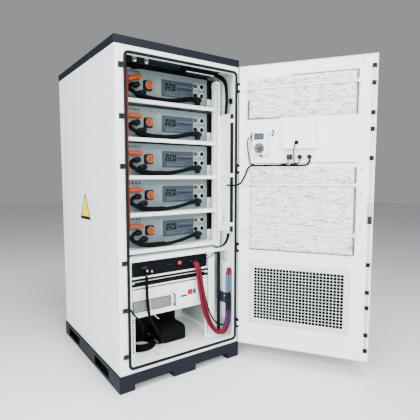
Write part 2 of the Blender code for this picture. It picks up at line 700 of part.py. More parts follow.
def door_skins():
    """The outer tray with its hinge knuckles and louvres, and the flat inner panel."""
    z = (DOOR_BOTTOM, DOOR_TOP)
    reach = (DOOR_EDGE, DOOR_WIDTH + DOOR_EDGE)
    shell = door_block("door_shell", reach, (-DOOR_DEPTH, DOOR_LIP), z, WHITE)
    cut(shell, cutter_box((-reach[1] + SHEET, -reach[0] - SHEET), (-DOOR_DEPTH + SHEET, DOOR_LIP + 0.01),
                          (z[0] + SHEET, z[1] - SHEET), door_axis))
    edge = SHEET + 0.0005
    inner = door_block("door_inner_panel", (reach[0] + edge, reach[1] - edge), (-SHEET, 0),
                       (z[0] + edge, z[1] - edge), WHITE)
    notch = BARREL_RADIUS + 0.001
    for height in hinge_heights():
        weld(shell, rod("knuckle", (0, 0, height - KNUCKLE_HALF), (0, 0, height + KNUCKLE_HALF), BARREL_RADIUS,
                        WHITE, door_axis, segments=16))
        cut(shell, upright_cutter(height, KNUCKLE_HALF + 0.001, PIN_RADIUS + RUN))
        far = KNUCKLE_HALF + RUN + BARREL_LENGTH + 0.0015
        for side in (-1, 1):
            ends = [(0, 0, height + side * KNUCKLE_HALF), (0, 0, height + side * far)]
            cut(shell, cutter_rod(*ends, notch, door_axis))
        cut(inner, upright_cutter(height, far, notch))
    for reach_at in SWITCH_PLACES:
        for skin in (shell, inner):
            cut(skin, cutter_rod((-reach_at, -0.05, SWITCH_Z), (-reach_at, 0.01, SWITCH_Z), 0.0115, door_axis))
    for skin in (shell, inner):
        cut(skin, cutter_rod((-STRIKER_REACH, -0.05, HANDLE_Z), (-STRIKER_REACH, 0.01, HANDLE_Z), 0.006, door_axis))
    cut(inner, cutter_box((-0.600, -0.105), (-0.01, 0.01), (0.262, 0.570), door_axis))
    for i in range(7):
        low = 0.290 + 0.036 * i
        cut(shell, cutter_box((-0.580, -0.125), (-0.05, -DOOR_DEPTH + 0.01), (low, low + 0.012), door_axis))


def door_lining():
    """The two insulation mats, the cover box and the perforated filter cover."""
    out = (FIT, INSULATION)
    door_block("insulation_upper", (0.055, 0.640), out, (1.416, 1.643), FOIL, bevel=0.004)
    door_block("insulation_lower", (0.066, 0.642), out, (0.667, 1.144), FOIL, bevel=0.004)
    cover = door_block("cover_box", (0.262, 0.435), (FIT, 0.036), (1.243, 1.400), WHITE)
    cut(cover, cutter_box((-0.435 + SHEET, -0.262 - SHEET), (-0.01, 0.036 - SHEET), (1.243 + SHEET, 1.400 - SHEET),
                          door_axis))
    vent_reach = (0.080, 0.625)
    vent_z = (0.240, 0.590)
    depth = 0.0255
    vent = door_block("filter_cover", vent_reach, (FIT, depth), vent_z, WHITE)
    cut(vent, cutter_box((-vent_reach[1] + SHEET, -vent_reach[0] - SHEET), (-0.01, depth - SHEET),
                         (vent_z[0] + SHEET, vent_z[1] - SHEET), door_axis))
    pitch = 0.491 / VENT_COLUMNS
    rise = 0.311 / VENT_ROWS
    punch = bmesh.new()
    for column in range(VENT_COLUMNS):
        for row in range(VENT_ROWS):
            place = Vector((-0.105 - pitch * (column + 0.5), depth - SHEET / 2, 0.267 + rise * (row + 0.5)))
            size = Matrix.Diagonal((VENT_HOLE, 0.01, VENT_HOLE, 1))
            bmesh.ops.create_cube(punch, size=1.0, matrix=Matrix.Translation(place) @ size)
    mesh = bpy.data.meshes.new("punch")
    punch.to_mesh(mesh)
    punch.free()
    cut(vent, link(bpy.data.objects.new("punch", mesh), BLACK, door_axis))


def dehumidifier():
    """A wall unit with a fan in a round well; the fan turns on a spigot."""
    centre = 0.131
    fan_z = 1.248
    depth = 0.045
    case = door_block("dehumidifier_case", (0.090, 0.176), (FIT, depth), (1.213, 1.343), PLASTIC, bevel=0.004)
    bake(case)
    cut(case, cutter_rod((-centre, 0.025, fan_z), (-centre, 0.06, fan_z), 0.0285, door_axis))
    weld(case, door_rod("spigot", centre, (0.022, 0.031), fan_z, 0.003, PLASTIC, 12))
    fan = door_rod("dehumidifier_fan", centre, (0.0275, 0.040), fan_z, 0.010, BLACK, 20)
    for i in range(7):
        blade = block("blade", (0.008, 0.0255), (-0.0045, 0.0045), (-0.001, 0.001), BLACK, door_axis)
        turn = Matrix.Rotation(math.tau * i / 7, 4, "Y") @ Matrix.Rotation(math.radians(38), 4, "X")
        blade.data.transform(turn @ Matrix.Translation(Vector(blade.location)))
        blade.location = (-centre, 0.034, fan_z)
        weld(fan, blade)
    cut(fan, cutter_rod((-centre, 0.020, fan_z), (-centre, 0.032, fan_z), 0.003 + RUN, door_axis))


def lock_set():
    """The lock case, its two sliding rods with their pins, and the outside lever on its spindle."""
    s = STRIKER_REACH
    reach = (s - LOCK_HALF_WIDTH, s + LOCK_HALF_WIDTH)
    case = door_block("lock_case", reach, (FIT, 0.009), LOCK_Z, STEEL, bevel=0.001)
    bake(case)
    cut(case, cutter_rod((-s, -0.01, HANDLE_Z), (-s, 0.006, HANDLE_Z), 0.0055, door_axis))
    middle = (DOOR_BOTTOM + DOOR_TOP) / 2
    heights = striker_heights()
    upper = [z for z in heights if z > middle]
    lower = [z for z in heights if z < middle]
    rod_reach = (s - ROD_WIDTH / 2, s + ROD_WIDTH / 2)
    bars = (("lock_rod_upper", (LOCK_Z[1] + 0.001, upper[-1] + 0.040), upper, -ROD_TRAVEL),
            ("lock_rod_lower", (lower[0] - 0.040, LOCK_Z[0] - 0.001), lower, ROD_TRAVEL))
    for name, z, points, shift in bars:
        bar = door_block(name, rod_reach, (0.0025, 0.005), z, STEEL)
        for height in points:
            weld(bar, door_rod("pin", s, (0.004, 0.0082), height + shift, ROD_PIN, STEEL, 12))
    plate = door_block("handle_plate", (s - 0.014, s + 0.014), (-DOOR_DEPTH - FIT - 0.010, -DOOR_DEPTH - FIT),
                       (HANDLE_Z - 0.145, HANDLE_Z + 0.030), BLACK, bevel=0.002)
    bake(plate)
    cut(plate, cutter_rod((-s, -0.06, HANDLE_Z), (-s, 0, HANDLE_Z), 0.006, door_axis))
    back = -DOOR_DEPTH - 2 * FIT - 0.010
    lever = door_block("door_handle", (s - 0.010, s + 0.010), (back - 0.014, back),
                       (HANDLE_Z - 0.135, HANDLE_Z + 0.014), BLACK, bevel=0.003)
    bake(lever)
    weld(lever, door_rod("spindle", s, (back - 0.002, 0.005), HANDLE_Z, 0.005, STEEL, 16))


def switches():
    """Emergency stop and two push buttons through the door, on one bracket between the skins."""
    first = SWITCH_PLACES[0] - 0.020
    last = SWITCH_PLACES[-1] + 0.020
    skin = -DOOR_DEPTH
    bracket = door_block("switch_bracket", (first, last), (skin + SHEET + 0.0005, skin + SHEET + 0.0025),
                         (SWITCH_Z - 0.014, SWITCH_Z + 0.014), STEEL)
    for number, reach in enumerate(SWITCH_PLACES):
        barrel = door_rod("barrel", reach, (skin - 0.006, 0.002), SWITCH_Z, 0.011, BLACK)
        collar = door_rod("collar", reach, (skin - 0.006, skin - FIT), SWITCH_Z, 0.015, BLACK)
        if number:
            contact = door_rod("contact", reach, (FIT, 0.022), SWITCH_Z, 0.012, BLACK, 16)
        else:
            contact = door_block("contact", (reach - 0.014, reach + 0.014), (FIT, 0.030),
                                 (SWITCH_Z - 0.014, SWITCH_Z + 0.014), RED)
        weld(bracket, barrel, collar, contact)
        cut(bracket, cutter_rod((-reach, skin - 0.02, SWITCH_Z), (-reach, skin + 0.018, SWITCH_Z), 0.006, door_axis))
    caps = (("estop_head", 0.020, 0.0135, 0.010, RED), ("push_button_1", 0.012, 0.0097, 0.006, PLASTIC),
            ("push_button_2", 0.012, 0.0097, 0.006, PLASTIC))
    for (name, radius, proud, height, mat), reach in zip(caps, SWITCH_PLACES):
        cap = door_rod(name, reach, (skin - proud - height, skin - proud), SWITCH_Z, radius, mat, 24)
        weld(cap, door_rod("stem", reach, (skin - proud - 0.001, skin + 0.0100), SWITCH_Z, 0.0055, mat, 16))


def door_wiring():
    """The lead from the last button along the door, and the loop that crosses to the cabinet."""
    reach = SWITCH_PLACES[-1]
    low = 1.1535
    route = ((-reach, 0.011, SWITCH_Z - 0.0125), (-reach, 0.0105, SWITCH_Z - 0.026), (-reach + 0.010, 0.008, low + 0.004),
             (-reach + 0.030, 0.0065, low), (-0.300, 0.0062, low - 0.001), (-0.200, 0.0062, low + 0.001),
             (-0.120, 0.0062, low), (-0.080, 0.0062, low))
    cable("door_harness", route, 0.0035, BLACK, door_axis, spacing=0.016)


def crossing_loop():
    """The loop hangs free between the door and the duct's face, clear of the gasket."""
    axis = Vector((HINGE_X, HINGE_Y, 0))
    swing = Matrix.Rotation(math.radians(DOOR_OPEN), 3, "Z")
    low = 1.1535
    on_door = ((-0.0796, 0.0062, low), (-0.0740, 0.0062, low), (-0.0565, 0.0110, low - 0.018),
               (-0.0440, 0.0150, low - 0.052), (-0.0260, 0.0180, low - 0.088))
    points = [axis + swing @ Vector(p) for p in on_door]
    duct = RIGHT - 0.036
    in_cabinet = ((-0.0055, 0.0180, 1.051), (-0.0160, 0.0290, 1.044), (-0.0290, 0.0335, 1.041),
                  (-0.0410, 0.0420, 1.040), (-0.0465, 0.0600, 1.040), (-0.0470, 0.0780, 1.040))
    for dx, dy, z in in_cabinet:
        points.append(Vector((HINGE_X + dx, FRONT - 0.051 + dy, z)))
    points.append(Vector((duct - 0.0080, FRONT + 0.0480, 1.040)))
    points.append(Vector((duct - FIT, FRONT + 0.0482, 1.040)))
    cable("harness_loop", points, 0.0035, BLACK, spacing=0.0095)


base_plinth()
roof_cap()
wall_panels()
front_frame()
door_gasket()
upper_rack()
lower_rack()
shelves()
battery_modules()
module_cables()
link_harness()
control_unit()
power_unit()
wall_fittings()
loose_wiring()
cabinet_hinges()
door_skins()
door_lining()
dehumidifier()
lock_set()
switches()
door_wiring()
crossing_loop()
door_axis.rotation_euler.z = math.radians(DOOR_OPEN)
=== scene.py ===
"""Looks of an outdoor battery cabinet with its door open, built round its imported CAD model.

Metres, +Z up. The origin is on the floor under the cabinet, and the door opening faces -Y.
"""

import json
import math

import bmesh
import bpy
import numpy as np
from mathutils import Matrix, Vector


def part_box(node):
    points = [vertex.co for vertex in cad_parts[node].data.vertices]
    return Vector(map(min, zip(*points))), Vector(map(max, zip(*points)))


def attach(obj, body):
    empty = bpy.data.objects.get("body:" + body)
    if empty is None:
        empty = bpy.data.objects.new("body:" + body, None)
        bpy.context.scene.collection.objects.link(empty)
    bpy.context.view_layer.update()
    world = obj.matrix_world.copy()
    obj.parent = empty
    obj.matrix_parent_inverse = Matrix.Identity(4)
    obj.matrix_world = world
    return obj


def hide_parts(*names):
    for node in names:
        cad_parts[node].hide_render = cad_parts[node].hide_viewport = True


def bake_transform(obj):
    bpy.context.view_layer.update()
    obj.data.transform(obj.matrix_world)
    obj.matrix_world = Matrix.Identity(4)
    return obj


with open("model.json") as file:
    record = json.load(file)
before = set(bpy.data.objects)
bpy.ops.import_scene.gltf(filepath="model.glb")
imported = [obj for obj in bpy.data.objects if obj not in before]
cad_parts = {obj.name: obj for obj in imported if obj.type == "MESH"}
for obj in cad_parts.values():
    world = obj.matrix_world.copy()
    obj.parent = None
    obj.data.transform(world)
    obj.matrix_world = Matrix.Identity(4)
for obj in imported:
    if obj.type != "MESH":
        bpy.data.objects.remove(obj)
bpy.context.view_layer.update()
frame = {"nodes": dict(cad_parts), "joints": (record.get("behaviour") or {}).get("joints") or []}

# Camera: at chest height, to the left of the open front, level to within five degrees.
camera = bpy.data.objects.new("camera", bpy.data.cameras.new("camera"))
camera.location = (-1.0989, -2.2678, 1.0960)
camera.rotation_euler = (math.radians(85.0), 0, math.radians(-35.38))
camera.data.lens = 33.59
camera.data.sensor_width = 36.0
camera.data.clip_end = 60.0
bpy.context.scene.collection.objects.link(camera)
bpy.context.scene.camera = camera


# Spare lead: an 8 mm black communication lead that plugs into the control unit, hangs down the front
# of the lower bay and is wound into a coil on the cabinet's floor, with its plug laid on the coil.
roof_low, roof_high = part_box("roof_cap")
roof_overhang = 0.003
left = roof_low.x + roof_overhang
right = roof_high.x - roof_overhang
front = roof_low.y + roof_overhang
floor_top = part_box("floor_panel")[1].z
rack_face = front + 0.110


class Signal:
    """A shader socket: arithmetic on it adds the Math node that works it out."""

    def __init__(self, tree, socket):
        self.tree = tree
        self.socket = socket

    def node(self, kind, settings, values, out=0):
        """Adds a node of this kind, with its settings first and then its inputs' values or links."""
        made = self.tree.nodes.new(kind)
        for name, value in settings.items():
            if name == "stops":
                ramp = made.color_ramp
                while len(ramp.elements) < len(value):
                    ramp.elements.new(1.0)
                for element, (at, colour) in zip(ramp.elements, value):
                    element.position = at
                    element.color = (*colour, 1.0)
            else:
                setattr(made, name, value)
        for name, value in values.items():
            if isinstance(value, Signal):
                self.tree.links.new(value.socket, made.inputs[name])
            else:
                made.inputs[name].default_value = value
        return Signal(self.tree, made.outputs[out])

    def maths(self, operation, a, b):
        return self.node("ShaderNodeMath", {"operation": operation}, {0: a, 1: b})

    def __add__(self, other):
        return self.maths("ADD", self, other)

    def __sub__(self, other):
        return self.maths("SUBTRACT", self, other)

    def __rsub__(self, other):
        return self.maths("SUBTRACT", other, self)

    def __mul__(self, other):
        return self.maths("MULTIPLY", self, other)

    def __gt__(self, other):
        return self.maths("GREATER_THAN", self, other)

    def __lt__(self, other):
        return self.maths("LESS_THAN", self, other)

    __radd__ = __add__
    __rmul__ = __mul__

    def blend(self, first, second):
        """The first colour where this is 0 and the second where it is 1."""
        ends = [c if isinstance(c, Signal) else (*c, 1.0) for c in (first, second)]
        settings = {"data_type": "RGBA", "clamp_factor": True}
        return self.node("ShaderNodeMix", settings, {0: self, 6: ends[0], 7: ends[1]}, out=2)

    def noise(self, scale, detail=2.0):
        return self.node("ShaderNodeTexNoise", {}, {"Vector": self, "Scale": scale, "Detail": detail})

    def stretched(self, x, y, z):
        """These coordinates times one factor on each axis."""
        return self.node("ShaderNodeMapping", {}, {"Vector": self, "Scale": (x, y, z)})

    def along(self, axis):
        return self.node("ShaderNodeSeparateXYZ", {}, {0: self}, out="XYZ".index(axis))


def new_finish(name, colour, roughness, metallic=0.0, **fixed):
    """A material with one Principled shader, and the signal of its Object coordinates."""
    mat = bpy.data.materials.new(name)
    mat.use_nodes = True
    tree = mat.node_tree
    shader = tree.nodes["Principled BSDF"]
    shader.inputs["Base Color"].default_value = (*colour, 1.0)
    shader.inputs["Roughness"].default_value = roughness
    shader.inputs["Metallic"].default_value = metallic
    for socket, value in fixed.items():
        shader.inputs[socket.replace("_", " ")].default_value = value
    coordinates = tree.nodes.new("ShaderNodeTexCoord")
    return mat, Signal(tree, coordinates.outputs["Object"])


def feed(mat, socket, signal):
    mat.node_tree.links.new(signal.socket, mat.node_tree.nodes["Principled BSDF"].inputs[socket])


def bumps(height, strength, distance):
    return height.node("ShaderNodeBump", {}, {"Height": height, "Strength": strength, "Distance": distance})


def moulded(name, colour, roughness, dust=0.12, gloss=0.5):
    """Moulded plastic or a cable's sleeve: fine grain, and dust that dulls it in patches."""
    mat, place = new_finish(name, colour, roughness, Specular_IOR_Level=gloss)
    patches = place.noise(45.0, 4.0)
    dusty = tuple(c * (1 - dust) + 0.35 * dust for c in colour)
    feed(mat, "Base Color", patches.blend(colour, dusty))
    feed(mat, "Roughness", roughness + (patches - 0.5) * 0.25)
    feed(mat, "Normal", bumps(place.noise(1400.0), 0.15, 0.0002))
    return mat


black_sleeve = moulded("black_sleeve", (0.0012, 0.0018, 0.0034), 0.55, dust=0.002, gloss=0.05)


def through(points, spacing):
    """Points a spacing apart on the Catmull-Rom curve: each stretch is the cubic that leaves every given
    point parallel to the line between its two neighbours."""
    points = np.asarray(points, float)
    knots = np.vstack([2 * points[0] - points[1], points, 2 * points[-1] - points[-2]])
    count = np.maximum(1, np.rint(np.linalg.norm(np.diff(points, axis=0), axis=1) / spacing)).astype(int)
    stretch = np.repeat(np.arange(len(count)), count)
    t = (np.arange(len(stretch)) - np.repeat(np.cumsum(count) - count, count)) / count[stretch]
    a, b, c, d = (knots[stretch + i] for i in range(4))
    t = t[:, None]
    curve = 0.5 * (2 * b + (c - a) * t + (2 * a - 5 * b + 4 * c - d) * t**2 + (3 * b - a - 3 * c + d) * t**3)
    return np.vstack([curve, points[-1]])


def lead(name, route, radius, sleeve, body="cabinet"):
    """A round lead along a route of points, as one open spline."""
    curve = bpy.data.curves.new(name, "CURVE")
    curve.dimensions = "3D"
    curve.bevel_depth = radius
    curve.bevel_resolution = 4
    curve.use_fill_caps = True
    spline = curve.splines.new("POLY")
    spline.points.add(len(route) - 1)
    spline.points.foreach_set("co", np.column_stack([route, np.ones(len(route))]).ravel())
    spline.use_smooth = True
    obj = bpy.data.objects.new(name, curve)
    bpy.context.scene.collection.objects.link(obj)
    curve.materials.append(sleeve)
    if body:
        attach(obj, body)
    return obj


def black_lead(name, points, radius, spacing=0.008, body="cabinet"):
    """A lead in black sleeve on a smooth curve through the points."""
    return lead(name, through(points, spacing), radius, black_sleeve, body)


spare_diameter = 0.008
hang = np.array([
    (0.190, 0.1096, 0.590), (0.190, 0.098, 0.590), (0.188, 0.083, 0.560), (0.186, 0.078, 0.480),
    (0.190, 0.077, 0.400), (0.200, 0.078, 0.340), (0.222, 0.080, 0.290), (0.258, 0.086, 0.235),
    (0.293, 0.104, 0.182), (0.309, 0.136, 0.142), (0.309, 0.175, 0.124),
]) + (left, front, 0)
coil_middle = np.array([left + 0.220, front + 0.225])
coil_radius = 0.072
layers = [(14, 0), (5, 0), (-4, 0), (-13, 0), (-8, 8), (1, 8), (10, 8), (5, 16), (-4, 16), (-9, 24), (1, 24),
          (1, 32)]
turn_steps = 36
angle = np.arange(len(layers) * turn_steps) / turn_steps
turn = np.floor(angle).astype(int)
shift = np.clip((angle - turn - 0.55) / 0.35, 0, 1)
shift = shift * shift * (3 - 2 * shift)
offsets = np.array(layers + [layers[-1]]) / 1000.0
offset = offsets[turn] * (1 - shift[:, None]) + offsets[turn + 1] * shift[:, None]
reach = coil_radius + offset[:, 0]
coil = np.column_stack([
    coil_middle[0] + reach * np.cos(math.tau * angle),
    coil_middle[1] + reach * np.sin(math.tau * angle),
    floor_top + 0.0004 + spare_diameter / 2 + offset[:, 1],
])
spare_route = np.vstack([through(hang, 0.010), coil[2:]])
spare_lead = lead("spare_lead", spare_route, spare_diameter / 2, black_sleeve)
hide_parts("comms_cable", "spare_coil")


def skinned(rings, capped=True):
    """Faces over a stack of closed outlines with equal counts: flat ends, or the last joined to the first."""
    rings = np.asarray(rings, float)
    rows, count = rings.shape[:2]
    row, column = np.mgrid[: rows - 1 if capped else rows, :count]
    beside = (column + 1) % count
    above = (row + 1) % rows
    quads = np.stack([row * count + column, row * count + beside, above * count + beside,
                      above * count + column], -1)
    faces = quads.reshape(-1, 4).tolist()
    if capped:
        faces += [list(range(count)), list(range((rows - 1) * count, rows * count))]
    return rings.reshape(-1, 3), faces


def slab(low, high, face="-y", corner=0.002, edge=0.001, turns=5):
    """A block with round corners and one rounded-over face. Each outline is a rectangle with quarter-circle
    corners; it shrinks by edge * (1 - cos a) while it rises by edge * sin a towards the face."""
    low, high = np.minimum(low, high), np.maximum(low, high)
    k = "xyz".index(face[1])
    i, j = (k + 1) % 3, (k + 2) % 3
    sign = 1 if face[0] == "+" else -1
    half = (high - low)[[i, j]] / 2
    middle = (high + low)[[i, j]] / 2
    corner = min(corner, half.min() * 0.9999)
    bend = np.linspace(0, np.pi / 2, 4)
    rise = np.concatenate([[0], (high - low)[k] - edge + edge * np.sin(bend)])[:, None]
    inset = np.concatenate([[0], edge * (1 - np.cos(bend))])[:, None]
    quarter = (np.arange(4)[:, None] * np.pi / 2 + np.linspace(0, np.pi / 2, turns + 1)).ravel()
    side_u = np.repeat([1, -1, -1, 1], turns + 1)
    side_v = np.repeat([1, 1, -1, -1], turns + 1)
    radius = np.maximum(corner - inset, 0.0001)
    rings = np.empty((len(rise), len(quarter), 3))
    rings[..., i] = middle[0] + side_u * (half[0] - inset - radius) + radius * np.cos(quarter)
    rings[..., j] = middle[1] + side_v * (half[1] - inset - radius) + radius * np.sin(quarter)
    rings[..., k] = (low[k] if sign > 0 else high[k]) + sign * rise
    return skinned(rings)


def turned(profile, centre, face="-y", turns=24):
    """A turned piece: the profile's points (radius, height) carried round the axis through the centre."""
    radius, height = np.array(profile, float).T[:, :, None]
    k = "xyz".index(face[1])
    i, j = (k + 1) % 3, (k + 2) % 3
    sign = 1 if face[0] == "+" else -1
    around = np.linspace(0, math.tau, turns, endpoint=False)
    rings = np.empty((len(radius), turns, 3))
    rings[..., i] = centre[i] + radius * np.cos(around)
    rings[..., j] = centre[j] + radius * np.sin(around)
    rings[..., k] = centre[k] + sign * height
    return skinned(rings)


def repeated(shape, places):
    """The shape once at every place, as one set of points and faces."""
    points, faces = shape
    places = np.asarray(places, float)
    moved = (points[None] + places[:, None]).reshape(-1, 3)
    every = [[v + n * len(points) for v in face] for n in range(len(places)) for face in faces]
    return moved, every


def piece(name, shapes, finish, body="cabinet", slot=None, place=None, sharp=38):
    """One object from several closed shapes, at the origin, with its normals outwards."""
    points = []
    faces = []
    for some, over in shapes:
        start = sum(len(p) for p in points)
        faces += [[v + start for v in face] for face in over]
        points.append(some)
    points = np.vstack(points)
    if place:
        points = place(points)
    mesh = bpy.data.meshes.new(name)
    mesh.from_pydata(points.tolist(), [], faces)
    work = bmesh.new()
    work.from_mesh(mesh)
    bmesh.ops.remove_doubles(work, verts=work.verts, dist=0.000001)
    bmesh.ops.recalc_face_normals(work, faces=work.faces)
    work.to_mesh(mesh)
    work.free()
    mesh.shade_smooth()
    mesh.set_sharp_from_angle(angle=math.radians(sharp))
    mesh.materials.append(finish)
    obj = bpy.data.objects.new(name, mesh)
    bpy.context.scene.collection.objects.link(obj)
    if body:
        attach(obj, body)
    return obj


black_plastic = moulded("black_plastic", (0.0020, 0.0026, 0.0040), 0.46, dust=0.004, gloss=0.12)
end = spare_route[-1]
along = (spare_route[-1] - spare_route[-2]) / np.linalg.norm(spare_route[-1] - spare_route[-2])
plug_profile = [(0.0045, 0), (0.0062, 0.004), (0.0068, 0.016), (0.0088, 0.018), (0.0092, 0.034),
                (0.0088, 0.036),
                (0.0070, 0.0365), (0.0070, 0.044), (0.0060, 0.0445), (0.0060, 0.032)]
plug_points, plug_faces = turned(plug_profile, (0, 0, 0), "+x")
side = np.array([-along[1], along[0], 0])
plug_points = (end - 0.004 * along + plug_points[:, :1] * along + plug_points[:, 1:2] * side
               + plug_points[:, 2:] * (0, 0, 1))
spare_plug = piece("spare_plug", [(plug_points, plug_faces)], black_plastic, slot="black_sleeve")
tie_shapes = []
for tie_angle in (0.9, 3.6):
    across = np.linspace(0, math.tau, 20, endpoint=False)
    outward = np.array([math.cos(tie_angle), math.sin(tie_angle), 0])
    forward = np.array([-outward[1], outward[0], 0])
    middle = np.array([*coil_middle, floor_top + 0.0004 + 0.0205]) + coil_radius * outward
    loop = middle + 0.0215 * (np.cos(across)[:, None] * outward + 0.94 * np.sin(across)[:, None]
                              * np.array([0, 0, 1]))
    outer = loop + (loop - middle) * 0.07
    rings = np.stack([loop - 0.004 * forward, outer - 0.004 * forward, outer + 0.004 * forward,
                      loop + 0.004 * forward])
    tie_shapes.append(skinned(rings, capped=False))
coil_ties = piece("coil_ties", tie_shapes, black_plastic, slot="black_sleeve")


# Floor and light: a plain pale floor that runs off into a pale room, with soft lamps at both sides of the
# camera and one overhead, so that the inside of the cabinet is lit as evenly as the outside.
floor_finish, floor_place = new_finish("studio_floor", (0.80, 0.81, 0.82), 0.55)
feed(floor_finish, "Roughness", 0.55 + (floor_place.noise(3.0) - 0.5) * 0.1)
floor_mesh = bpy.data.meshes.new("studio_floor")
floor_mesh.from_pydata([(-14, -14, 0), (14, -14, 0), (14, 14, 0), (-14, 14, 0)], [], [(0, 1, 2, 3)])
floor_mesh.materials.append(floor_finish)
studio_floor = bpy.data.objects.new("studio_floor", floor_mesh)
bpy.context.scene.collection.objects.link(studio_floor)
world = bpy.data.worlds.new("pale_room")
world.use_nodes = True
world.node_tree.nodes["Background"].inputs["Color"].default_value = (0.93, 0.96, 1.0, 1.0)
world.node_tree.nodes["Background"].inputs["Strength"].default_value = 0.34
bpy.context.scene.world = world
lamps = (("lamp_left", (-3.4, -1.9, 2.4), 2.4, 300), ("lamp_front", (-0.6, -4.4, 2.6), 2.0, 230),
         ("lamp_over", (0.3, -1.5, 4.2), 1.6, 170), ("lamp_low", (-1.0, -3.2, 0.7), 1.2, 25))
for name, spot, width, power in lamps:
    lamp = bpy.data.objects.new(name, bpy.data.lights.new(name, "AREA"))
    lamp.location = spot
    lamp.rotation_euler = (Vector((0.1, -0.3, 0.9)) - Vector(spot)).to_track_quat("-Z", "Y").to_euler()
    lamp.data.size = width
    lamp.data.energy = power
    bpy.context.scene.collection.objects.link(lamp)


# Base and roof: folded steel in a dark slate powder coat, the base with its lifting pockets.
def powder_coat(name, colour, roughness=0.4, soil=0.05, black_where=None, gloss=0.5):
    """Baked powder paint: the orange-peel grain, cloudy soil, and a duller patch where it is soiled."""
    mat, place = new_finish(name, colour, roughness, Specular_IOR_Level=gloss)
    cloud = place.noise(5.0, 4.0)
    soiled = tuple(c * (1 - soil) for c in colour)
    coat = cloud.blend(colour, soiled)
    if black_where:
        coat = black_where(place).blend(coat, (0.0020, 0.0025, 0.0035))
    feed(mat, "Base Color", coat)
    feed(mat, "Roughness", roughness + (cloud - 0.5) * 0.15)
    feed(mat, "Normal", bumps(place.noise(650.0, 1.0), 0.10, 0.0004))
    return mat


def repaint(finish, *names):
    """Gives CAD nodes a finish in place of their plain colour."""
    for name in names:
        slots = frame["nodes"][name].data.materials
        slots.clear()
        slots.append(finish)


slate = powder_coat("slate_coat", (0.0062, 0.0090, 0.0150), 0.55, soil=0.25, gloss=0.12)
repaint(slate, "base_plinth", "roof_cap")

# Walls: three-millimetre sheet in white powder coat, folded at the edges.
white = powder_coat("white_coat", (0.83, 0.885, 0.885), 0.36, soil=0.03)
repaint(white, "side_panel_left", "side_panel_right", "rear_panel", "floor_panel", "ceiling_panel")

# Hazard plate on the left wall: a plain yellow triangle of printed film with a black rim and no symbol.
plate_middle = np.array([0.0, 0.918])


def triangle(width, depth):
    """A thin three-sided plate with rounded points: an outline whose corners are arcs about a smaller
    triangle."""
    height = width * 0.84
    corners = np.array([(-width / 2, -height / 2), (width / 2, -height / 2), (0, height / 2)])
    round_off = 0.008
    inner = corners * (1 - round_off * 3.4 / width)
    arcs = []
    for corner_point, start in zip(inner, (-150, -90, 30)):
        sweep = np.radians(np.linspace(start, start + 120, 6))
        arcs.append(corner_point + round_off * np.column_stack([np.cos(sweep), np.sin(sweep)]))
    outline = np.vstack(arcs)
    rings = np.empty((2, len(outline), 3))
    rings[..., 0] = np.array([left - 0.0001, left - 0.0001 - depth])[:, None]
    rings[..., 1] = plate_middle[0] + outline[:, 0]
    rings[..., 2] = plate_middle[1] + outline[:, 1]
    return skinned(rings)


plate_black = moulded("plate_black", (0.003, 0.003, 0.003), 0.45, dust=0.0, gloss=0.1)
plate_yellow = moulded("plate_yellow", (0.85, 0.66, 0.006), 0.40, dust=0.0, gloss=0.2)
piece("hazard_rim", [triangle(0.190, 0.0006)], plate_black, slot="black_coat")
piece("hazard_field", [triangle(0.146, 0.0010)], plate_yellow, slot="grey_cap")


# Door frame: the folded front of the cabinet. The strikers welded to its left upright are painted black,
# and each has two countersunk screws.
def in_front_of_frame(place):
    return (place.along("Y") < front - 0.0006) * (place.along("X") < left + 0.06)


repaint(powder_coat("frame_coat", (0.83, 0.885, 0.885), 0.36, soil=0.03, black_where=in_front_of_frame),
        "front_frame")
zinc, zinc_place = new_finish("zinc_plate", (0.62, 0.63, 0.64), 0.35, 1.0)
zinc_cloud = zinc_place.stretched(1, 1, 0.05).noise(320.0, 3.0)
feed(zinc, "Base Color", zinc_cloud.blend((0.70, 0.71, 0.71), (0.50, 0.51, 0.53)))
feed(zinc, "Roughness", 0.26 + zinc_cloud * 0.22)
striker_x = left + 0.030
striker_heights = [0.1855 + 0.23867 * i for i in (0, 1, 2, 4, 5, 6)]
screw = turned([(0.0001, -0.0004), (0.0030, -0.0004), (0.0030, 0.0006), (0.0022, 0.0011), (0.0001, 0.0012)],
               (0, 0, 0))
screw_places = [(striker_x + dx, front - 0.0065, z + side_z * 0.0078) for z in striker_heights
                for dx, side_z in ((-0.0085, 1), (-0.0085, -1), (0.0085, 1), (0.0085, -1))]
striker_black = moulded("striker_black", (0.006, 0.007, 0.009), 0.45, dust=0.004, gloss=0.15)
piece("striker_screws", [repeated(screw, screw_places)], striker_black, slot="black_coat")
cheek = slab((striker_x - 0.0125, front + 0.0002, -0.0125), (striker_x + 0.0125, front - 0.0026, 0.0125),
             "-y", 0.002, 0.001, 3)
piece("striker_cheeks", [repeated(cheek, [(0, 0, z) for z in striker_heights])], striker_black,
      slot="black_coat")


# Gasket: one black foam bulb round the opening, hollow-looking and round in section, butted at the sill.
gasket_low, gasket_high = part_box("door_gasket")
gasket_width = 0.015
bulb = np.radians(np.linspace(0, 360, 18, endpoint=False))
bulb_out = np.sign(np.cos(bulb)) * np.abs(np.cos(bulb)) ** 0.75 * gasket_width / 2
bulb_up = np.sign(np.sin(bulb)) * np.abs(np.sin(bulb)) ** 0.75 * (gasket_high.y - gasket_low.y) / 2
centre_line = 0.0215
gasket_middle = (np.array(gasket_low) + np.array(gasket_high)) / 2
gasket_half = np.array([gasket_high.x - gasket_low.x, gasket_high.z - gasket_low.z]) / 2 - gasket_width / 2
arc = (np.arange(4)[:, None] * np.pi / 2 + np.linspace(0, np.pi / 2, 9)).ravel()
corner_u = np.repeat([1, -1, -1, 1], 9) * (gasket_half[0] - centre_line)
corner_v = np.repeat([1, 1, -1, -1], 9) * (gasket_half[1] - centre_line)
gasket_rings = np.empty((len(bulb), len(arc), 3))
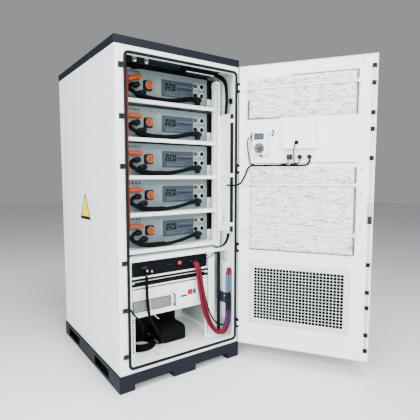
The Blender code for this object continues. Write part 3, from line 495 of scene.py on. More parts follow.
gasket_rings[..., 0] = gasket_middle[0] + corner_u + (centre_line + bulb_out[:, None]) * np.cos(arc)
gasket_rings[..., 1] = gasket_middle[1] + bulb_up[:, None]
gasket_rings[..., 2] = gasket_middle[2] + corner_v + (centre_line + bulb_out[:, None]) * np.sin(arc)
gasket_rubber, gasket_place = new_finish("gasket_rubber", (0.004, 0.0045, 0.006), 0.5,
                                         Specular_IOR_Level=0.12)
gasket_cloud = gasket_place.noise(160.0, 3.0)
feed(gasket_rubber, "Roughness", 0.34 + gasket_cloud * 0.25)
feed(gasket_rubber, "Base Color", gasket_cloud.blend((0.0020, 0.0026, 0.004), (0.004, 0.005, 0.008)))
feed(gasket_rubber, "Normal", bumps(gasket_place.noise(900.0), 0.2, 0.0003))
gasket_bulb = piece("gasket_bulb", [skinned(gasket_rings, capped=False)], gasket_rubber, slot="gasket_rubber")
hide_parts("door_gasket")

# Hinges: black cast halves on the frame, with the door's white knuckle turning between their barrels.
hinge_black = powder_coat("hinge_black", (0.0025, 0.0030, 0.0040), 0.45, soil=0.2, gloss=0.15)
repaint(hinge_black, "hinge_1", "hinge_2", "hinge_3", "hinge_4")

# Rack: folded white posts. Their rows of square holes take cage nuts; each hole is drawn as a black square of
# painted shade, for the dark space seen through it, in a thin bright rim.
repaint(white, "rack_frame_upper", "rack_frame_lower", "divider_shelf")
post_y = front + 0.127
# Black for dark parts, and painted shade where holes, slots and the dark lower bay are drawn.
black_and_painted_shade = moulded("black_and_painted_shade", (0.0020, 0.0024, 0.0032), 0.8, dust=0.0, gloss=0.1)
upper_low, upper_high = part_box("rack_frame_upper")
lower_low, lower_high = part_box("rack_frame_lower")
unit = 0.04445
hole = slab((-0.0045, -0.0003, -0.0045), (0.0045, 0, 0.0045), "-y", 0.0012, 0.0001, 2)
hole_places = []
for x, y, low, high in ((right - 0.058, post_y, upper_low.z + 0.04, upper_high.z),
                        (left + 0.024, post_y, upper_low.z + 0.04, upper_high.z),
                        (right - 0.138, rack_face + 0.0035, lower_low.z + 0.02, lower_high.z),
                        (left + 0.123, rack_face + 0.0035, lower_low.z + 0.02, lower_high.z)):
    for step in range(int((high - low) / unit)):
        for rise in (0.0064, 0.0222, 0.0381):
            hole_places.append((x, y, low + step * unit + rise))
piece("rack_holes", [repeated(hole, hole_places)], black_and_painted_shade, slot="black_coat")

# Shelves: white folded trays. Each front lip is riveted to the posts and has small punched marks.
shelf_nodes = [f"shelf_{n}" for n in range(1, 6)]
repaint(white, *shelf_nodes)
mark = turned([(0.0001, -0.0002), (0.0014, -0.0002), (0.0014, 0.0003), (0.0001, 0.0004)], (0, 0, 0), turns=10)
mark_places = []
for name in shelf_nodes:
    shelf_low, shelf_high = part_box(name)
    for share in (0.10, 0.145, 0.38, 0.47, 0.60, 0.655, 0.90):
        mark_places.append((shelf_low.x + share * (shelf_high.x - shelf_low.x), shelf_low.y,
                            shelf_low.z + 0.010))
piece("shelf_rivets", [repeated(mark, mark_places)], zinc, slot="zinc")


# Battery modules: pale steel cases that stand on the shelves, set back from their front edges. A raised cover
# with a printed plate fills the middle of each face, a service plug in a black ring is at its left, four
# round sockets are at its right, and a black grille over a white bracket closes the gap to the post.
module_low, module_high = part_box("battery_module_1")
module_face = module_low.y + 0.024
module_coat = powder_coat("module_coat", (0.170, 0.228, 0.232), 0.36, soil=0.16)
orange = moulded("orange_plastic", (0.44, 0.055, 0.004), 0.38, dust=0.0, gloss=0.2)
orange_red = moulded("socket_red", (0.11, 0.022, 0.016), 0.4, dust=0.0)
print_slate = moulded("print_slate", (0.040, 0.052, 0.068), 0.34, dust=0.0, gloss=0.2)
print_dark = moulded("print_dark", (0.002, 0.005, 0.008), 0.40, dust=0.0, gloss=0.1)
print_pale = moulded("print_pale", (0.16, 0.22, 0.30), 0.36, dust=0.0, gloss=0.2)
cap_screw = turned([(0.0001, -0.0005), (0.0036, -0.0005), (0.0036, 0.0022), (0.0030, 0.0028),
                    (0.0016, 0.0028),
                    (0.0015, 0.0012), (0.0001, 0.0011)], (0, 0, 0), turns=16)
socket_ring = turned([(0.0001, -0.001), (0.0142, -0.001), (0.0142, 0.0030), (0.0128, 0.0046),
                      (0.0098, 0.0046),
                      (0.0080, 0.0016), (0.0046, 0.0014), (0.0040, 0.0040), (0.0001, 0.0042)], (0, 0, 0))
screw_grey = moulded("screw_grey", (0.20, 0.23, 0.24), 0.4, dust=0.0)
socket_rim = turned([(0.0001, -0.0005), (0.0172, -0.0005), (0.0172, 0.0010), (0.0166, 0.0014),
                     (0.0001, 0.0014)], (0, 0, 0))


def on_face(x, z, width, height, proud, corner=0.001):
    """A thin plate on the face of the module at hand, from its lower left corner."""
    return slab((left + x, module_face + 0.0010, floor + z),
                (left + x + width, module_face - proud, floor + z + height),
                "-y", corner, min(proud, 0.0008), 3)


def module_slab(low, high, corner=0.001, edge=0.0008, *rest):
    """A slab at the module at hand; the corners are measured from its face and floor at the left side."""
    return slab((left + low[0], module_face + low[1], floor + low[2]),
                (left + high[0], module_face + high[1], floor + high[2]), "-y", corner, edge, *rest)


for number in range(1, 6):
    name = f"battery_module_{number}"
    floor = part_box(name)[0].z
    repaint(module_coat, name)
    tag = f"module_{number}_"
    boss = (left + 0.2735, module_face, floor + 0.091)
    covers = [on_face(0.326, 0.036, 0.252, 0.114, 0.0022, 0.002),
              on_face(0.334, 0.043, 0.236, 0.100, 0.0034, 0.002),
              on_face(0.112, 0.1500, 0.548, 0.0030, 0.0026), on_face(0.6560, 0.002, 0.0030, 0.146, 0.0016)]
    piece(tag + "covers", covers, module_coat, slot="module_coat")
    piece(tag + "plate", [on_face(0.358, 0.046, 0.212, 0.094, 0.0048, 0.003)], print_slate, slot="black_coat")
    dark = [on_face(x, z, w, h, 0.0052) for x, z, w, h in (
        (0.383, 0.108, 0.020, 0.013), (0.409, 0.108, 0.014, 0.013), (0.428, 0.100, 0.010, 0.021),
        (0.380, 0.083, 0.012, 0.021),
        (0.396, 0.094, 0.022, 0.010), (0.398, 0.083, 0.010, 0.008), (0.412, 0.083, 0.012, 0.009),
        (0.428, 0.083, 0.022, 0.013),
        (0.442, 0.098, 0.008, 0.023))]
    dark += [on_face(0.466 + 0.0165 * step, 0.094, 0.010, 0.010, 0.0052) for step in range(6)]
    piece(tag + "dark_print", dark, print_dark, slot="black_coat")
    pale = [on_face(x, z, w, 0.0017, 0.0052) for x, z, w in (
        (0.455, 0.112, 0.106), (0.438, 0.076, 0.076), (0.384, 0.070, 0.054), (0.384, 0.063, 0.160),
        (0.384, 0.056, 0.120))]
    piece(tag + "pale_print", pale, print_pale, slot="grey_cap")
    flange = slab((boss[0] - 0.0265, module_face + 0.001, boss[2] - 0.0270),
                  (boss[0] + 0.0265, module_face - 0.013, boss[2] + 0.0270),
                  "-y", 0.009, 0.002)
    collar = turned([(0.0001, 0.001), (0.0262, 0.001), (0.0262, 0.018), (0.0250, 0.020), (0.0001, 0.0202)],
                    boss, turns=32)
    piece(tag + "plug_ring", [flange, collar], black_plastic, slot="black_sleeve")
    cap = turned([(0.0001, 0.020), (0.0190, 0.020), (0.0192, 0.0250), (0.0172, 0.0290), (0.0130, 0.0300),
                  (0.0120, 0.0275), (0.0001, 0.0270)],
                 boss, turns=32)
    grips = [slab((boss[0] - 0.0050, module_face - 0.024, boss[2] - 0.0180),
                  (boss[0] + 0.0050, module_face - 0.037, boss[2] + 0.0180),
                  "-y", 0.004, 0.002)]
    grips += [slab((boss[0] + dx - 0.004, module_face - 0.018, boss[2] + dz - 0.004),
                   (boss[0] + dx + 0.004, module_face - 0.0310, boss[2] + dz + 0.004),
                   "-y", 0.0035, 0.002, 3) for dx in (-0.0155, 0.0155) for dz in (-0.0155, 0.0155)]
    piece(tag + "plug_cap", [cap] + grips, orange, slot="orange_sleeve")
    low_sockets = [(left + x, module_face, floor + z) for x,
                   z in ((0.6335, 0.129), (0.6335, 0.075), (0.588, 0.075))]
    piece(tag + "sockets", [repeated(socket_ring, low_sockets)], black_plastic, slot="black_sleeve")
    piece(tag + "red_socket", [repeated(socket_ring, [(left + 0.588, module_face, floor + 0.129)])],
          orange_red, slot="red_cap")
    rims = [(left + x, module_face, floor + z) for x in (0.588, 0.6335) for z in (0.075, 0.129)]
    piece(tag + "socket_rims", [repeated(socket_rim, rims)], white, slot="white_coat")
    places = [(left + x, module_face, floor + z) for x in (0.604, 0.650) for z in (0.162, 0.018)]
    places += [(left + x, module_face, floor + 0.142) for x in (0.196, 0.216, 0.240, 0.262, 0.290)]
    places += [(left + x, module_face, floor + 0.163) for x in (0.130, 0.300, 0.470)]
    places += [(left + x, module_face - 0.0022, floor + z) for x in (0.3300, 0.5740) for z in (0.040, 0.146)]
    piece(tag + "screws", [repeated(cap_screw, places)], screw_grey, slot="zinc")
    studs = [on_face(x, z, 0.008, 0.006, 0.0025, 0.003) for x, z in ((0.618, 0.102), (0.646, 0.104))]
    studs += [on_face(0.152 + 0.020 * i, 0.1545, 0.010, 0.007, 0.0018) for i in range(4)]
    piece(tag + "studs", studs, hinge_black, slot="black_sleeve")
    grille = [module_slab((0.6740, 0.0040, 0.064), (0.7200, 0.0010, 0.1778))]
    grille += [slab((left + 0.6755, module_face + 0.0012, floor + 0.070 + 0.0105 * i),
                    (left + 0.7190, module_face - 0.0010, floor + 0.0735 + 0.0105 * i),
                    "-y", 0.001, 0.0008, 2) for i in range(10)]
    piece(tag + "side_grille", grille, black_and_painted_shade, slot="black_sleeve")
    bracket = [module_slab((0.6775, 0.0040, 0.001), (0.7200, 0.0010, 0.063)),
               module_slab((0.6775, 0.0020, 0.054), (0.7200, -0.0120, 0.057))]
    piece(tag + "side_bracket", bracket, white, slot="white_coat")
    # The bracket's two slots are black patches on its face: painted shade of the openings.
    slots = [module_slab((0.6860, 0.0012, 0.012), (0.6900, 0.0004, 0.034), 0.0019, 0.0002),
             module_slab((0.6980, 0.0012, 0.022), (0.7040, 0.0004, 0.028), 0.0029, 0.0002)]
    piece(tag + "bracket_slots", slots, black_and_painted_shade, slot="black_sleeve")
flange_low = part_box("rack_frame_upper")[0].z
piece("post_flange", [slab((left + 0.6828, post_y + 0.0005, flange_low + 0.001),
                           (left + 0.6850, post_y + 0.0420, 1.6520), "-x", 0.001, 0.0005)],
      white, slot="white_coat")


# Power leads: three black leads from each module's left, two of them from angled plugs, down round the lower
# corner and along the shelf towards the right.
def angled_plug(x, z):
    """A round plug body on the face with its neck turned to the left and down."""
    body = [(0.0001, -0.001), (0.0150, -0.001), (0.0150, 0.010), (0.0130, 0.013), (0.0130, 0.018),
            (0.0152, 0.020),
            (0.0152, 0.034), (0.0130, 0.039), (0.0001, 0.040)]
    neck = [(0.0001, 0.0), (0.0125, 0.0), (0.0125, 0.018), (0.0100, 0.025), (0.0090, 0.031)]
    return [turned(body, (x, module_face, z)), turned(neck, (x - 0.004, module_face - 0.027, z - 0.002), "-x",
                                                      turns=18)]


for number in range(1, 6):
    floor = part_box(f"battery_module_{number}")[0].z
    tag = f"module_{number}_"
    first = np.array([
        (0.184, 0.181, 0.083), (0.166, 0.174, 0.081), (0.149, 0.162, 0.070), (0.144, 0.154, 0.055),
        (0.155, 0.150, 0.041),
        (0.185, 0.1485, 0.0295), (0.2300, 0.1475, 0.0205), (0.2700, 0.1465, 0.0160), (0.3127, 0.1460, 0.0138),
        (0.3767, 0.1465, 0.0158),
        (0.4430, 0.149, 0.0250), (0.5115, 0.155, 0.0400), (0.548, 0.164, 0.0455), (0.572, 0.176, 0.0460)])
    second = np.array([
        (0.220, 0.181, 0.045), (0.204, 0.178, 0.043), (0.190, 0.172, 0.034), (0.192, 0.167, 0.023),
        (0.222, 0.164, 0.0130),
        (0.270, 0.163, 0.0090), (0.330, 0.163, 0.0085), (0.395, 0.163, 0.0120), (0.455, 0.165, 0.0215),
        (0.515, 0.170, 0.0335),
        (0.552, 0.176, 0.0390), (0.574, 0.182, 0.0400)])
    upper = black_lead(tag + "lead_upper", first + (left, front, floor), 0.0100, 0.006)
    black_lead(tag + "lead_lower", second + (left, front, floor), 0.0085, 0.006)
    third = np.array([(0.086, 0.196, 0.118), (0.098, 0.182, 0.110), (0.112, 0.166, 0.094),
                      (0.127, 0.157, 0.074), (0.146, 0.153, 0.055),
                      (0.172, 0.156, 0.040), (0.200, 0.160, 0.029), (0.240, 0.162, 0.0215),
                      (0.290, 0.1625, 0.0185), (0.345, 0.163, 0.0190)])
    black_lead(tag + "lead_side", third + (left, front, floor), 0.0082, 0.006)
    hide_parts(f"module_cable_{number}")
    plugs = angled_plug(left + 0.200, floor + 0.085) + angled_plug(left + 0.236, floor + 0.047)
    tee_y = module_face - 0.026
    plugs += [slab((left + 0.5790, tee_y - 0.0130, floor + 0.012),
                   (left + 0.6020, tee_y + 0.0130, floor + 0.052), "-y", 0.008, 0.005),
              turned([(0.0001, 0), (0.0120, 0), (0.0150, 0.004), (0.0150, 0.040), (0.0125, 0.048),
                      (0.0001, 0.049)],
                     (left + 0.562, tee_y, floor + 0.045), "+x"),
              turned([(0.0001, 0), (0.0110, 0), (0.0110, 0.034), (0.0001, 0.035)],
                     (left + 0.590, module_face, floor + 0.052))]
    piece(tag + "plugs", plugs, black_plastic, slot="black_sleeve")

# Link harness: orange high-voltage lead up the left in front of the shelves, with a branch back between them
# to a ribbed orange plug on each module.
harness_x, harness_y = left + 0.094, front + 0.078
# The sleeve is a dull orange, darker than the plugs: the orange is the lead's own, the darkening is painted
# shade, as the lead hangs in shadow.
orange_sleeve = moulded("orange_sleeve", (0.16, 0.018, 0.007), 0.45, dust=0.0, gloss=0.15)
harness_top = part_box("link_harness")[1].z - 0.006
harness_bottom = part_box("link_harness")[0].z
riser = np.array([(harness_x + 0.0015 * math.sin(9 * z), harness_y + 0.001 * math.cos(7 * z), z)
                  for z in np.linspace(harness_bottom + 0.004, harness_top, 60)])
harness = lead("link_riser", riser, 0.0072, orange_sleeve)
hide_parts("link_harness")
for number in range(1, 6):
    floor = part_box(f"battery_module_{number}")[0].z
    plug_y = module_face - 0.023
    plug_z = floor + 0.1216
    branch = np.array([(harness_x, harness_y + 0.001, plug_z - 0.004),
                       (harness_x + 0.001, harness_y + 0.020, plug_z - 0.002),
                       (harness_x + 0.006, harness_y + 0.060, plug_z),
                       (harness_x + 0.020, plug_y - 0.016, plug_z),
                       (harness_x + 0.040, plug_y - 0.001, plug_z), (harness_x + 0.062, plug_y, plug_z)])
    lead(f"module_{number}_branch", through(branch, 0.005), 0.0062, orange_sleeve)
    ribs = [(0.0001, 0.0), (0.0095, 0.0), (0.0110, 0.004)]
    for step in range(4):
        ribs += [(0.0118, 0.008 + 0.007 * step), (0.0118, 0.011 + 0.007 * step),
                 (0.0102, 0.012 + 0.007 * step)]
    ribs += [(0.0116, 0.038), (0.0116, 0.060), (0.0098, 0.066), (0.0098, 0.078), (0.0085, 0.080),
             (0.0001, 0.080)]
    housing = [turned(ribs, (left + 0.148, plug_y, plug_z), "+x"),
               turned([(0.0001, 0), (0.0080, 0), (0.0080, 0.022), (0.0001, 0.022)],
                      (left + 0.216, module_face - 0.001, plug_z))]
    if number == 1:
        rise = 0.34
        middle = np.array([left + 0.190, 0, plug_z])
        swing = np.array([[math.cos(rise), 0, math.sin(rise)], [0, 1, 0],
                          [-math.sin(rise), 0, math.cos(rise)]])
        housing[0] = ((housing[0][0] - middle) @ swing + middle, housing[0][1])
    piece(f"module_{number}_link_plug", housing, orange, slot="orange_sleeve")


# Control unit: a black two-unit case with a red rocker, two knobs, indicator lamps and a thin lead at its
# right.
control_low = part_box("control_unit")[0]
power_low, power_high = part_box("power_unit")
repaint(powder_coat("control_black", (0.0018, 0.0026, 0.0040), 0.50, soil=0.2, gloss=0.08), "control_unit",
        "junction_box")
rocker_red, rocker_place = new_finish("rocker_red", (0.42, 0.03, 0.025), 0.25)
rocker_cloud = rocker_place.noise(300.0)
feed(rocker_red, "Base Color", rocker_cloud.blend((0.46, 0.035, 0.03), (0.36, 0.02, 0.02)))
feed(rocker_red, "Roughness", 0.2 + rocker_cloud * 0.15)
repaint(rocker_red, "power_rocker")
z = control_low.z + 0.044
knob = turned([(0.0001, -0.0005), (0.0075, -0.0005), (0.0075, 0.0030), (0.0058, 0.0040), (0.0054, 0.0120),
               (0.0044, 0.0132), (0.0001, 0.0134)], (0, 0, 0))
knobs = [(left + 0.492, rack_face, z - 0.002), (left + 0.522, rack_face, z + 0.001)]
piece("control_knobs", [repeated(knob, knobs)], striker_black, slot="black_coat")
ports = [slab((left + 0.178, rack_face + 0.001, z - 0.006), (left + 0.205, rack_face - 0.0014, z + 0.008),
              "-y", 0.002, 0.0006)]
ports += [slab((left + 0.335 + 0.014 * i, rack_face + 0.001, z - 0.003),
               (left + 0.341 + 0.014 * i, rack_face - 0.0016, z + 0.003), "-y", 0.003, 0.0006)
          for i in range(3)]
piece("control_ports", ports, moulded("port_grey", (0.016, 0.020, 0.026), 0.4, dust=0.0, gloss=0.2),
      slot="black_sleeve")
control_screws = [(left + x, rack_face, control_low.z + dz) for x in (0.128, 0.597) for dz in (0.014, 0.068)]
piece("control_screws", [repeated(cap_screw, control_screws)], striker_black, slot="black_coat")
control_lead = np.array([(0.560, 0.106, 0.596), (0.560, 0.094, 0.596), (0.572, 0.090, 0.598),
                         (0.610, 0.092, 0.612),
                         (0.650, 0.100, 0.628), (0.676, 0.108, 0.6330)]) + (left, front, 0)
black_lead("control_lead", control_lead, 0.0035)


# Black sheets behind and over the blanking strips, one at the back of the space under the power unit's shelf
# and a black block on the floor are painted shade where the lower bay lies dark.
bay_shade_sheets = [slab((left + 0.112, rack_face + 0.0080, power_high.z + 0.004),
                (left + 0.606, rack_face + 0.0120, control_low.z - 0.002), "-y", 0.001, 0.0008),
           slab((left + 0.130, rack_face + 0.2400, floor_top + 0.003),
                (left + 0.520, rack_face + 0.2440, 0.312), "-y", 0.001, 0.0008),
           slab((left + 0.118, rack_face + 0.0010, 0.5300), (left + 0.612, rack_face - 0.0012, 0.5440), "-y",
                0.001, 0.0008),
           slab((left + 0.118, rack_face + 0.0010, power_high.z + 0.018),
                (left + 0.612, rack_face - 0.0012, 0.5170), "-y", 0.001, 0.0008),
           slab((left + 0.325, rack_face + 0.0600, floor_top + 0.0004),
                (left + 0.500, rack_face + 0.2300, floor_top + 0.090), "+z", 0.030, 0.030)]
piece("bay_painted_shade", bay_shade_sheets, black_and_painted_shade, slot="black_sleeve")
pendant = [np.array([(0.1935, 0.079, 0.560), (0.1935, 0.077, 0.480), (0.1970, 0.076, 0.400),
                     (0.2070, 0.077, 0.340), (0.2290, 0.080, 0.290),
                     (0.2500, 0.088, 0.250), (0.262, 0.110, 0.215)]),
           np.array([(0.0880, 0.150, 0.430), (0.0890, 0.110, 0.410), (0.0930, 0.082, 0.398),
                     (0.1080, 0.075, 0.372), (0.1290, 0.075, 0.345),
                     (0.1500, 0.078, 0.318), (0.1680, 0.090, 0.280), (0.178, 0.115, 0.240)])]
for number, route in enumerate(pendant):
    black_lead(f"pendant_lead_{number + 1}", route + (left, front, 0), 0.0050)
pale_sleeve = moulded("pale_sleeve", (0.55, 0.58, 0.60), 0.4, dust=0.0)
thin_route = np.array([(0.2030, 0.074, 0.480), (0.2060, 0.073, 0.420), (0.2180, 0.073, 0.365),
                       (0.2400, 0.075, 0.330), (0.2620, 0.080, 0.312)]) + (left, front, 0)
tag_roll = turned([(0.0001, 0), (0.0105, 0), (0.0110, 0.001), (0.0110, 0.046), (0.0100, 0.047),
                   (0.0001, 0.0471)],
                  (left + 0.248, front + 0.068, floor_top + 0.0114), "+x", 24)
piece("lead_tag_roll", [tag_roll], pale_sleeve, slot="white_coat")
lead("pale_lead", through(thin_route, 0.008), 0.0016, pale_sleeve)
lead_marks = [slab((left + x, rack_face - 0.0320, z), (left + x + 0.006, rack_face - 0.0360, z + 0.010), "-y",
                   0.001, 0.0005)
              for x, z in ((0.1900, 0.585), (0.2180, 0.579))]
piece("lead_marks", lead_marks, pale_sleeve, slot="white_coat")


# Power unit: a white case with a perforated intake at its left, a black bow handle and a cover plate that
# carries a plain red and blue mark.
def black_bow(place):
    return place.along("Y") < rack_face - 0.0008


repaint(powder_coat("power_coat", (0.80, 0.83, 0.835), 0.38, soil=0.05, black_where=black_bow), "power_unit")


def perforated(size, cells, hole_share, sheet, edge, wall, margin):
    """A shallow cover with a grid of holes. Its face is a lattice of square cells; each cell's hole is a
    superellipse of eight points, and bridges of quads run from it to the cell's own edge. The rim is the
    face's outline carried round a quarter circle, down the wall and back up inside."""
    across, up = cells
    pitch = (np.array(size) - 2 * margin) / cells
    lines = []
    for length, step, count in zip(size, pitch, cells):
        ends = np.array([edge, margin])
        inner = margin + step * np.arange(1, count)
        lines.append(np.concatenate([ends, inner, [length - margin, length - edge]]))
    full = [np.sort(np.concatenate([line, (line[1:] + line[:-1]) / 2])) for line in lines]
    count_u, count_v = len(full[0]), len(full[1])
    grid_u, grid_v = np.meshgrid(full[0], full[1], indexing="ij")
    lattice = np.stack([grid_u.ravel(), grid_v.ravel()], -1)
    cell_u, cell_v = (m.ravel() for m in np.mgrid[: (count_u - 1) // 2, : (count_v - 1) // 2])
    open_cell = (cell_u > 0) & (cell_u <= across) & (cell_v > 0) & (cell_v <= up)
    step_u = np.array([0, 1, 2, 2, 2, 1, 0, 0])
    step_v = np.array([0, 0, 0, 1, 2, 2, 2, 1])
    ring = (2 * cell_u[:, None] + step_u) * count_v + 2 * cell_v[:, None] + step_v
    centre = lattice[(2 * cell_u + 1) * count_v + 2 * cell_v + 1][open_cell]
    spoke = np.arctan2(step_v - 1, step_u - 1)
    reach = hole_share / 2 / (np.abs(np.cos(spoke)) ** 4 + np.abs(np.sin(spoke)) ** 4) ** 0.25
    hole_uv = centre[:, None] + np.stack([reach * np.cos(spoke) * pitch[0], reach * np.sin(spoke) * pitch[1]],
                                         -1)
    points = []
    for rise in (0.0, -sheet):
        points.append(np.column_stack([lattice, np.full(len(lattice), rise)]))
    for rise in (0.0, -sheet):
        points.append(np.column_stack([hole_uv.reshape(-1, 2), np.full(hole_uv.size // 2, rise)]))
    face, holes = len(lattice), hole_uv.size // 2
    hole_ring = np.arange(holes).reshape(-1, 8)
    follow = np.roll(np.arange(8), -1)
    outer = ring[open_cell]
    faces = []
    for side in (0, 1):
        inner = 2 * face + side * holes + hole_ring
        rim = side * face + outer
        faces.append(np.stack([rim, rim[:, follow], inner[:, follow], inner], -1).reshape(-1, 4))
    top, under = 2 * face + hole_ring, 2 * face + holes + hole_ring
    faces.append(np.stack([top, top[:, follow], under[:, follow], under], -1).reshape(-1, 4))
    every = [f for some in faces for f in some.tolist()]
    every += ring[~open_cell].tolist() + (ring[~open_cell] + face).tolist()
    border = np.concatenate([np.arange(count_u - 1) * count_v,
                             (count_u - 1) * count_v + np.arange(count_v - 1),
                             np.arange(count_u - 1, 0, -1) * count_v + count_v - 1,
                             np.arange(count_v - 1, 0, -1)])
    bend = np.linspace(0, np.pi / 2, 4)[1:]
    out = np.concatenate([edge * np.sin(bend), [edge, edge - sheet, edge - sheet]])
    drop = np.concatenate([edge * (1 - np.cos(bend)), [wall, wall, edge]])
    half = np.array(size) / 2
    away = (lattice[border] - half) / (half - edge)
    start = 2 * face + 2 * holes
    previous = border
    for outward, down in zip(out, drop):
        points.append(np.column_stack([half + away * (half - edge + outward), np.full(len(border), -down)]))
        current = start + np.arange(len(border))
        every += np.stack([previous, np.roll(previous, -1), np.roll(current, -1), current], -1).tolist()
        previous = current
        start += len(border)
    under_border = border + face
    every += np.stack([previous, np.roll(previous, -1), np.roll(under_border, -1), under_border], -1).tolist()
    return np.vstack(points), every


grille_size = (0.233, 0.063)
grille = perforated(grille_size, (34, 9), 0.74, 0.001, 0.0016, 0.004, 0.005)
grille_points = np.column_stack([left + 0.121 + grille[0][:, 0], rack_face - 0.0042 - grille[0][:, 2],
                                 power_low.z + 0.010 + grille[0][:, 1]])
grille_grey = powder_coat("grille_grey", (0.070, 0.080, 0.086), 0.5, soil=0.10)
piece("power_grille", [(grille_points, grille[1])], grille_grey, slot="white_coat")
cover = slab((left + 0.382, rack_face + 0.001, power_low.z + 0.006),
             (left + 0.560, rack_face - 0.0016, power_low.z + 0.104), "-y", 0.002, 0.0008)
piece("power_cover", [cover], white, slot="white_coat")
mark_y = rack_face - 0.0020
red_mark = moulded("mark_red", (0.34, 0.010, 0.014), 0.4, dust=0.0, gloss=0.2)
blue_mark = moulded("mark_blue", (0.022, 0.030, 0.18), 0.4, dust=0.0, gloss=0.2)
piece("power_mark_red", [slab((left + 0.466, mark_y + 0.0005, power_low.z + 0.052),
                              (left + 0.500, mark_y, power_low.z + 0.084), "-y", 0.002, 0.0002)],
      red_mark, slot="red_cap")
blue_bars = [slab((left + 0.503, mark_y + 0.0005, power_low.z + 0.054),
                  (left + 0.522, mark_y, power_low.z + 0.084), "-y", 0.002, 0.0002),
             slab((left + 0.420, mark_y + 0.0005, power_low.z + 0.046),
                  (left + 0.463, mark_y, power_low.z + 0.058), "-y", 0.001, 0.0002)]
piece("power_mark_blue", blue_bars, blue_mark, slot="black_coat")
power_screws = [(left + x, rack_face - 0.0016, power_low.z + dz) for x in (0.388, 0.554)
                for dz in (0.013, 0.097)]
power_screws += [(left + 0.372, rack_face, power_low.z + dz) for dz in (0.100, 0.116)]
piece("power_screws", [repeated(cap_screw, power_screws)], zinc, slot="zinc")


# Right wall: a white air duct with brackets across it, a terminal cover with a navy plate, and a black
# slotted wiring duct that stands between the rack and the wall.
repaint(white, "air_duct", "terminal_cover")
duct_low, duct_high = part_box("air_duct")
brackets = [slab((duct_low.x - 0.004, duct_low.y - 0.0215, z - 0.010),
                 (duct_high.x, duct_high.y + 0.004, z + 0.012), "-x", 0.003, 0.0015)
            for z in (0.808, 1.098, 1.412)]
piece("duct_brackets", brackets, white, slot="white_coat")
# A black strip along the duct's front edge is painted shade: the dark gap between the duct and the frame.
gap_strip = slab((duct_low.x + 0.0004, front + 0.0090, duct_low.z + 0.004),
            (duct_high.x - 0.001, duct_low.y + 0.001, duct_high.z - 0.004), "-x", 0.002, 0.0008)
piece("duct_gap_shade", [gap_strip], gasket_rubber, slot="gasket_rubber")
piece("duct_mark", [slab((duct_low.x - 0.0010, duct_low.y + 0.050, 0.800),
                         (duct_low.x + 0.001, duct_low.y + 0.066, 0.860), "-x", 0.003, 0.0004)],
      moulded("mark_pale_blue", (0.30, 0.36, 0.62), 0.3), slot="grey_cap")
cover_low, cover_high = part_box("terminal_cover")
navy = moulded("navy_plate", (0.018, 0.022, 0.060), 0.30)
piece("terminal_plate", [slab((cover_low.x - 0.0012, cover_low.y + 0.003, 0.316),
                              (cover_low.x + 0.001, cover_high.y - 0.003, 0.384), "-x", 0.002, 0.0005)],
      navy, slot="black_coat")
piece("terminal_dot", [turned([(0.0001, 0), (0.0042, 0), (0.0042, 0.0006), (0.0001, 0.0007)],
                              (cover_low.x - 0.0010, cover_low.y + 0.018, 0.362), "-x", 16)],
      moulded("dot_white", (0.8, 0.82, 0.84), 0.3), slot="grey_cap")
slotted = [slab((left + 0.676, front + 0.088, 0.130), (left + 0.688, front + 0.106, 0.632), "-y", 0.001,
                0.0008)]
finger = slab((-0.0060, -0.0012, -0.0034), (0.0060, 0.0014, 0.0034), "-y", 0.0006, 0.0006, 2)
slotted.append(repeated(finger, [(left + 0.682, front + 0.088, 0.140 + 0.0105 * i) for i in range(46)]))
piece("wiring_duct", slotted, black_plastic, slot="black_sleeve")


# Main leads of the lower bay: four leads tied together, red to the bend and then sleeved purple, black
# and blue, that rise along the frame and go into the terminal cover's front.
def banded(place):
    """Red, purple, black and blue by height on the frame side of the bend, and red on the rack side."""
    height = place.along("Z")
    colour = (height > 0.185).blend((0.110, 0.0015, 0.012), (0.050, 0.012, 0.060))
    colour = (height > 0.285).blend(colour, (0.002, 0.003, 0.005))
    colour = (height > 0.395).blend(colour, (0.055, 0.120, 0.200))
    colour = (height > 0.500).blend(colour, (0.12, 0.003, 0.004))
    return (place.along("X") > left + 0.680).blend((0.115, 0.001, 0.010), colour)


main_sleeve, main_place = new_finish("main_sleeve", (0.115, 0.001, 0.010), 0.40, Specular_IOR_Level=0.2)
feed(main_sleeve, "Base Color", banded(main_place))
feed(main_sleeve, "Roughness", 0.26 + main_place.noise(60.0) * 0.2)
main_route = np.array([
    (0.515, 0.1096, 0.585), (0.515, 0.094, 0.585), (0.519, 0.079, 0.550), (0.527, 0.075, 0.480),
    (0.540, 0.072, 0.400),
    (0.560, 0.068, 0.310), (0.592, 0.063, 0.225), (0.632, 0.056, 0.172), (0.668, 0.049, 0.158),
    (0.694, 0.043, 0.188),
    (0.7060, 0.039, 0.240), (0.7080, 0.038, 0.330), (0.7080, 0.038, 0.430), (0.7090, 0.039, 0.490),
    (0.7160, 0.042, 0.518),
    (0.7260, 0.050, 0.530), (0.7260, 0.0576, 0.530)]) + (left, front, 0)
for number, (dx, dy, spread) in enumerate(((-0.0074, 0.0052, 1.0), (0.0072, 0.0052, 1.5),
                                           (-0.0070, -0.0060, 1.2), (0.0074, -0.0062, 1.9))):
    ease = np.sin(np.linspace(0, math.pi, len(main_route)))[:, None]
    strand = main_route + ease * np.array([(dx * spread, dy,
                                            -abs(dx) * spread)]) + (1 - ease) * np.array([(dx, 0, dy)])
    obj = lead(f"main_lead_{number + 1}", through(strand, 0.008), 0.0070, main_sleeve)
    if number == 0:
        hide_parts("main_cable")
beside_route = main_route[1:9] + np.linspace((0.020, 0.004, 0.0), (0.026, 0.012, 0.030), 8)
black_lead("main_lead_black", beside_route, 0.0050)
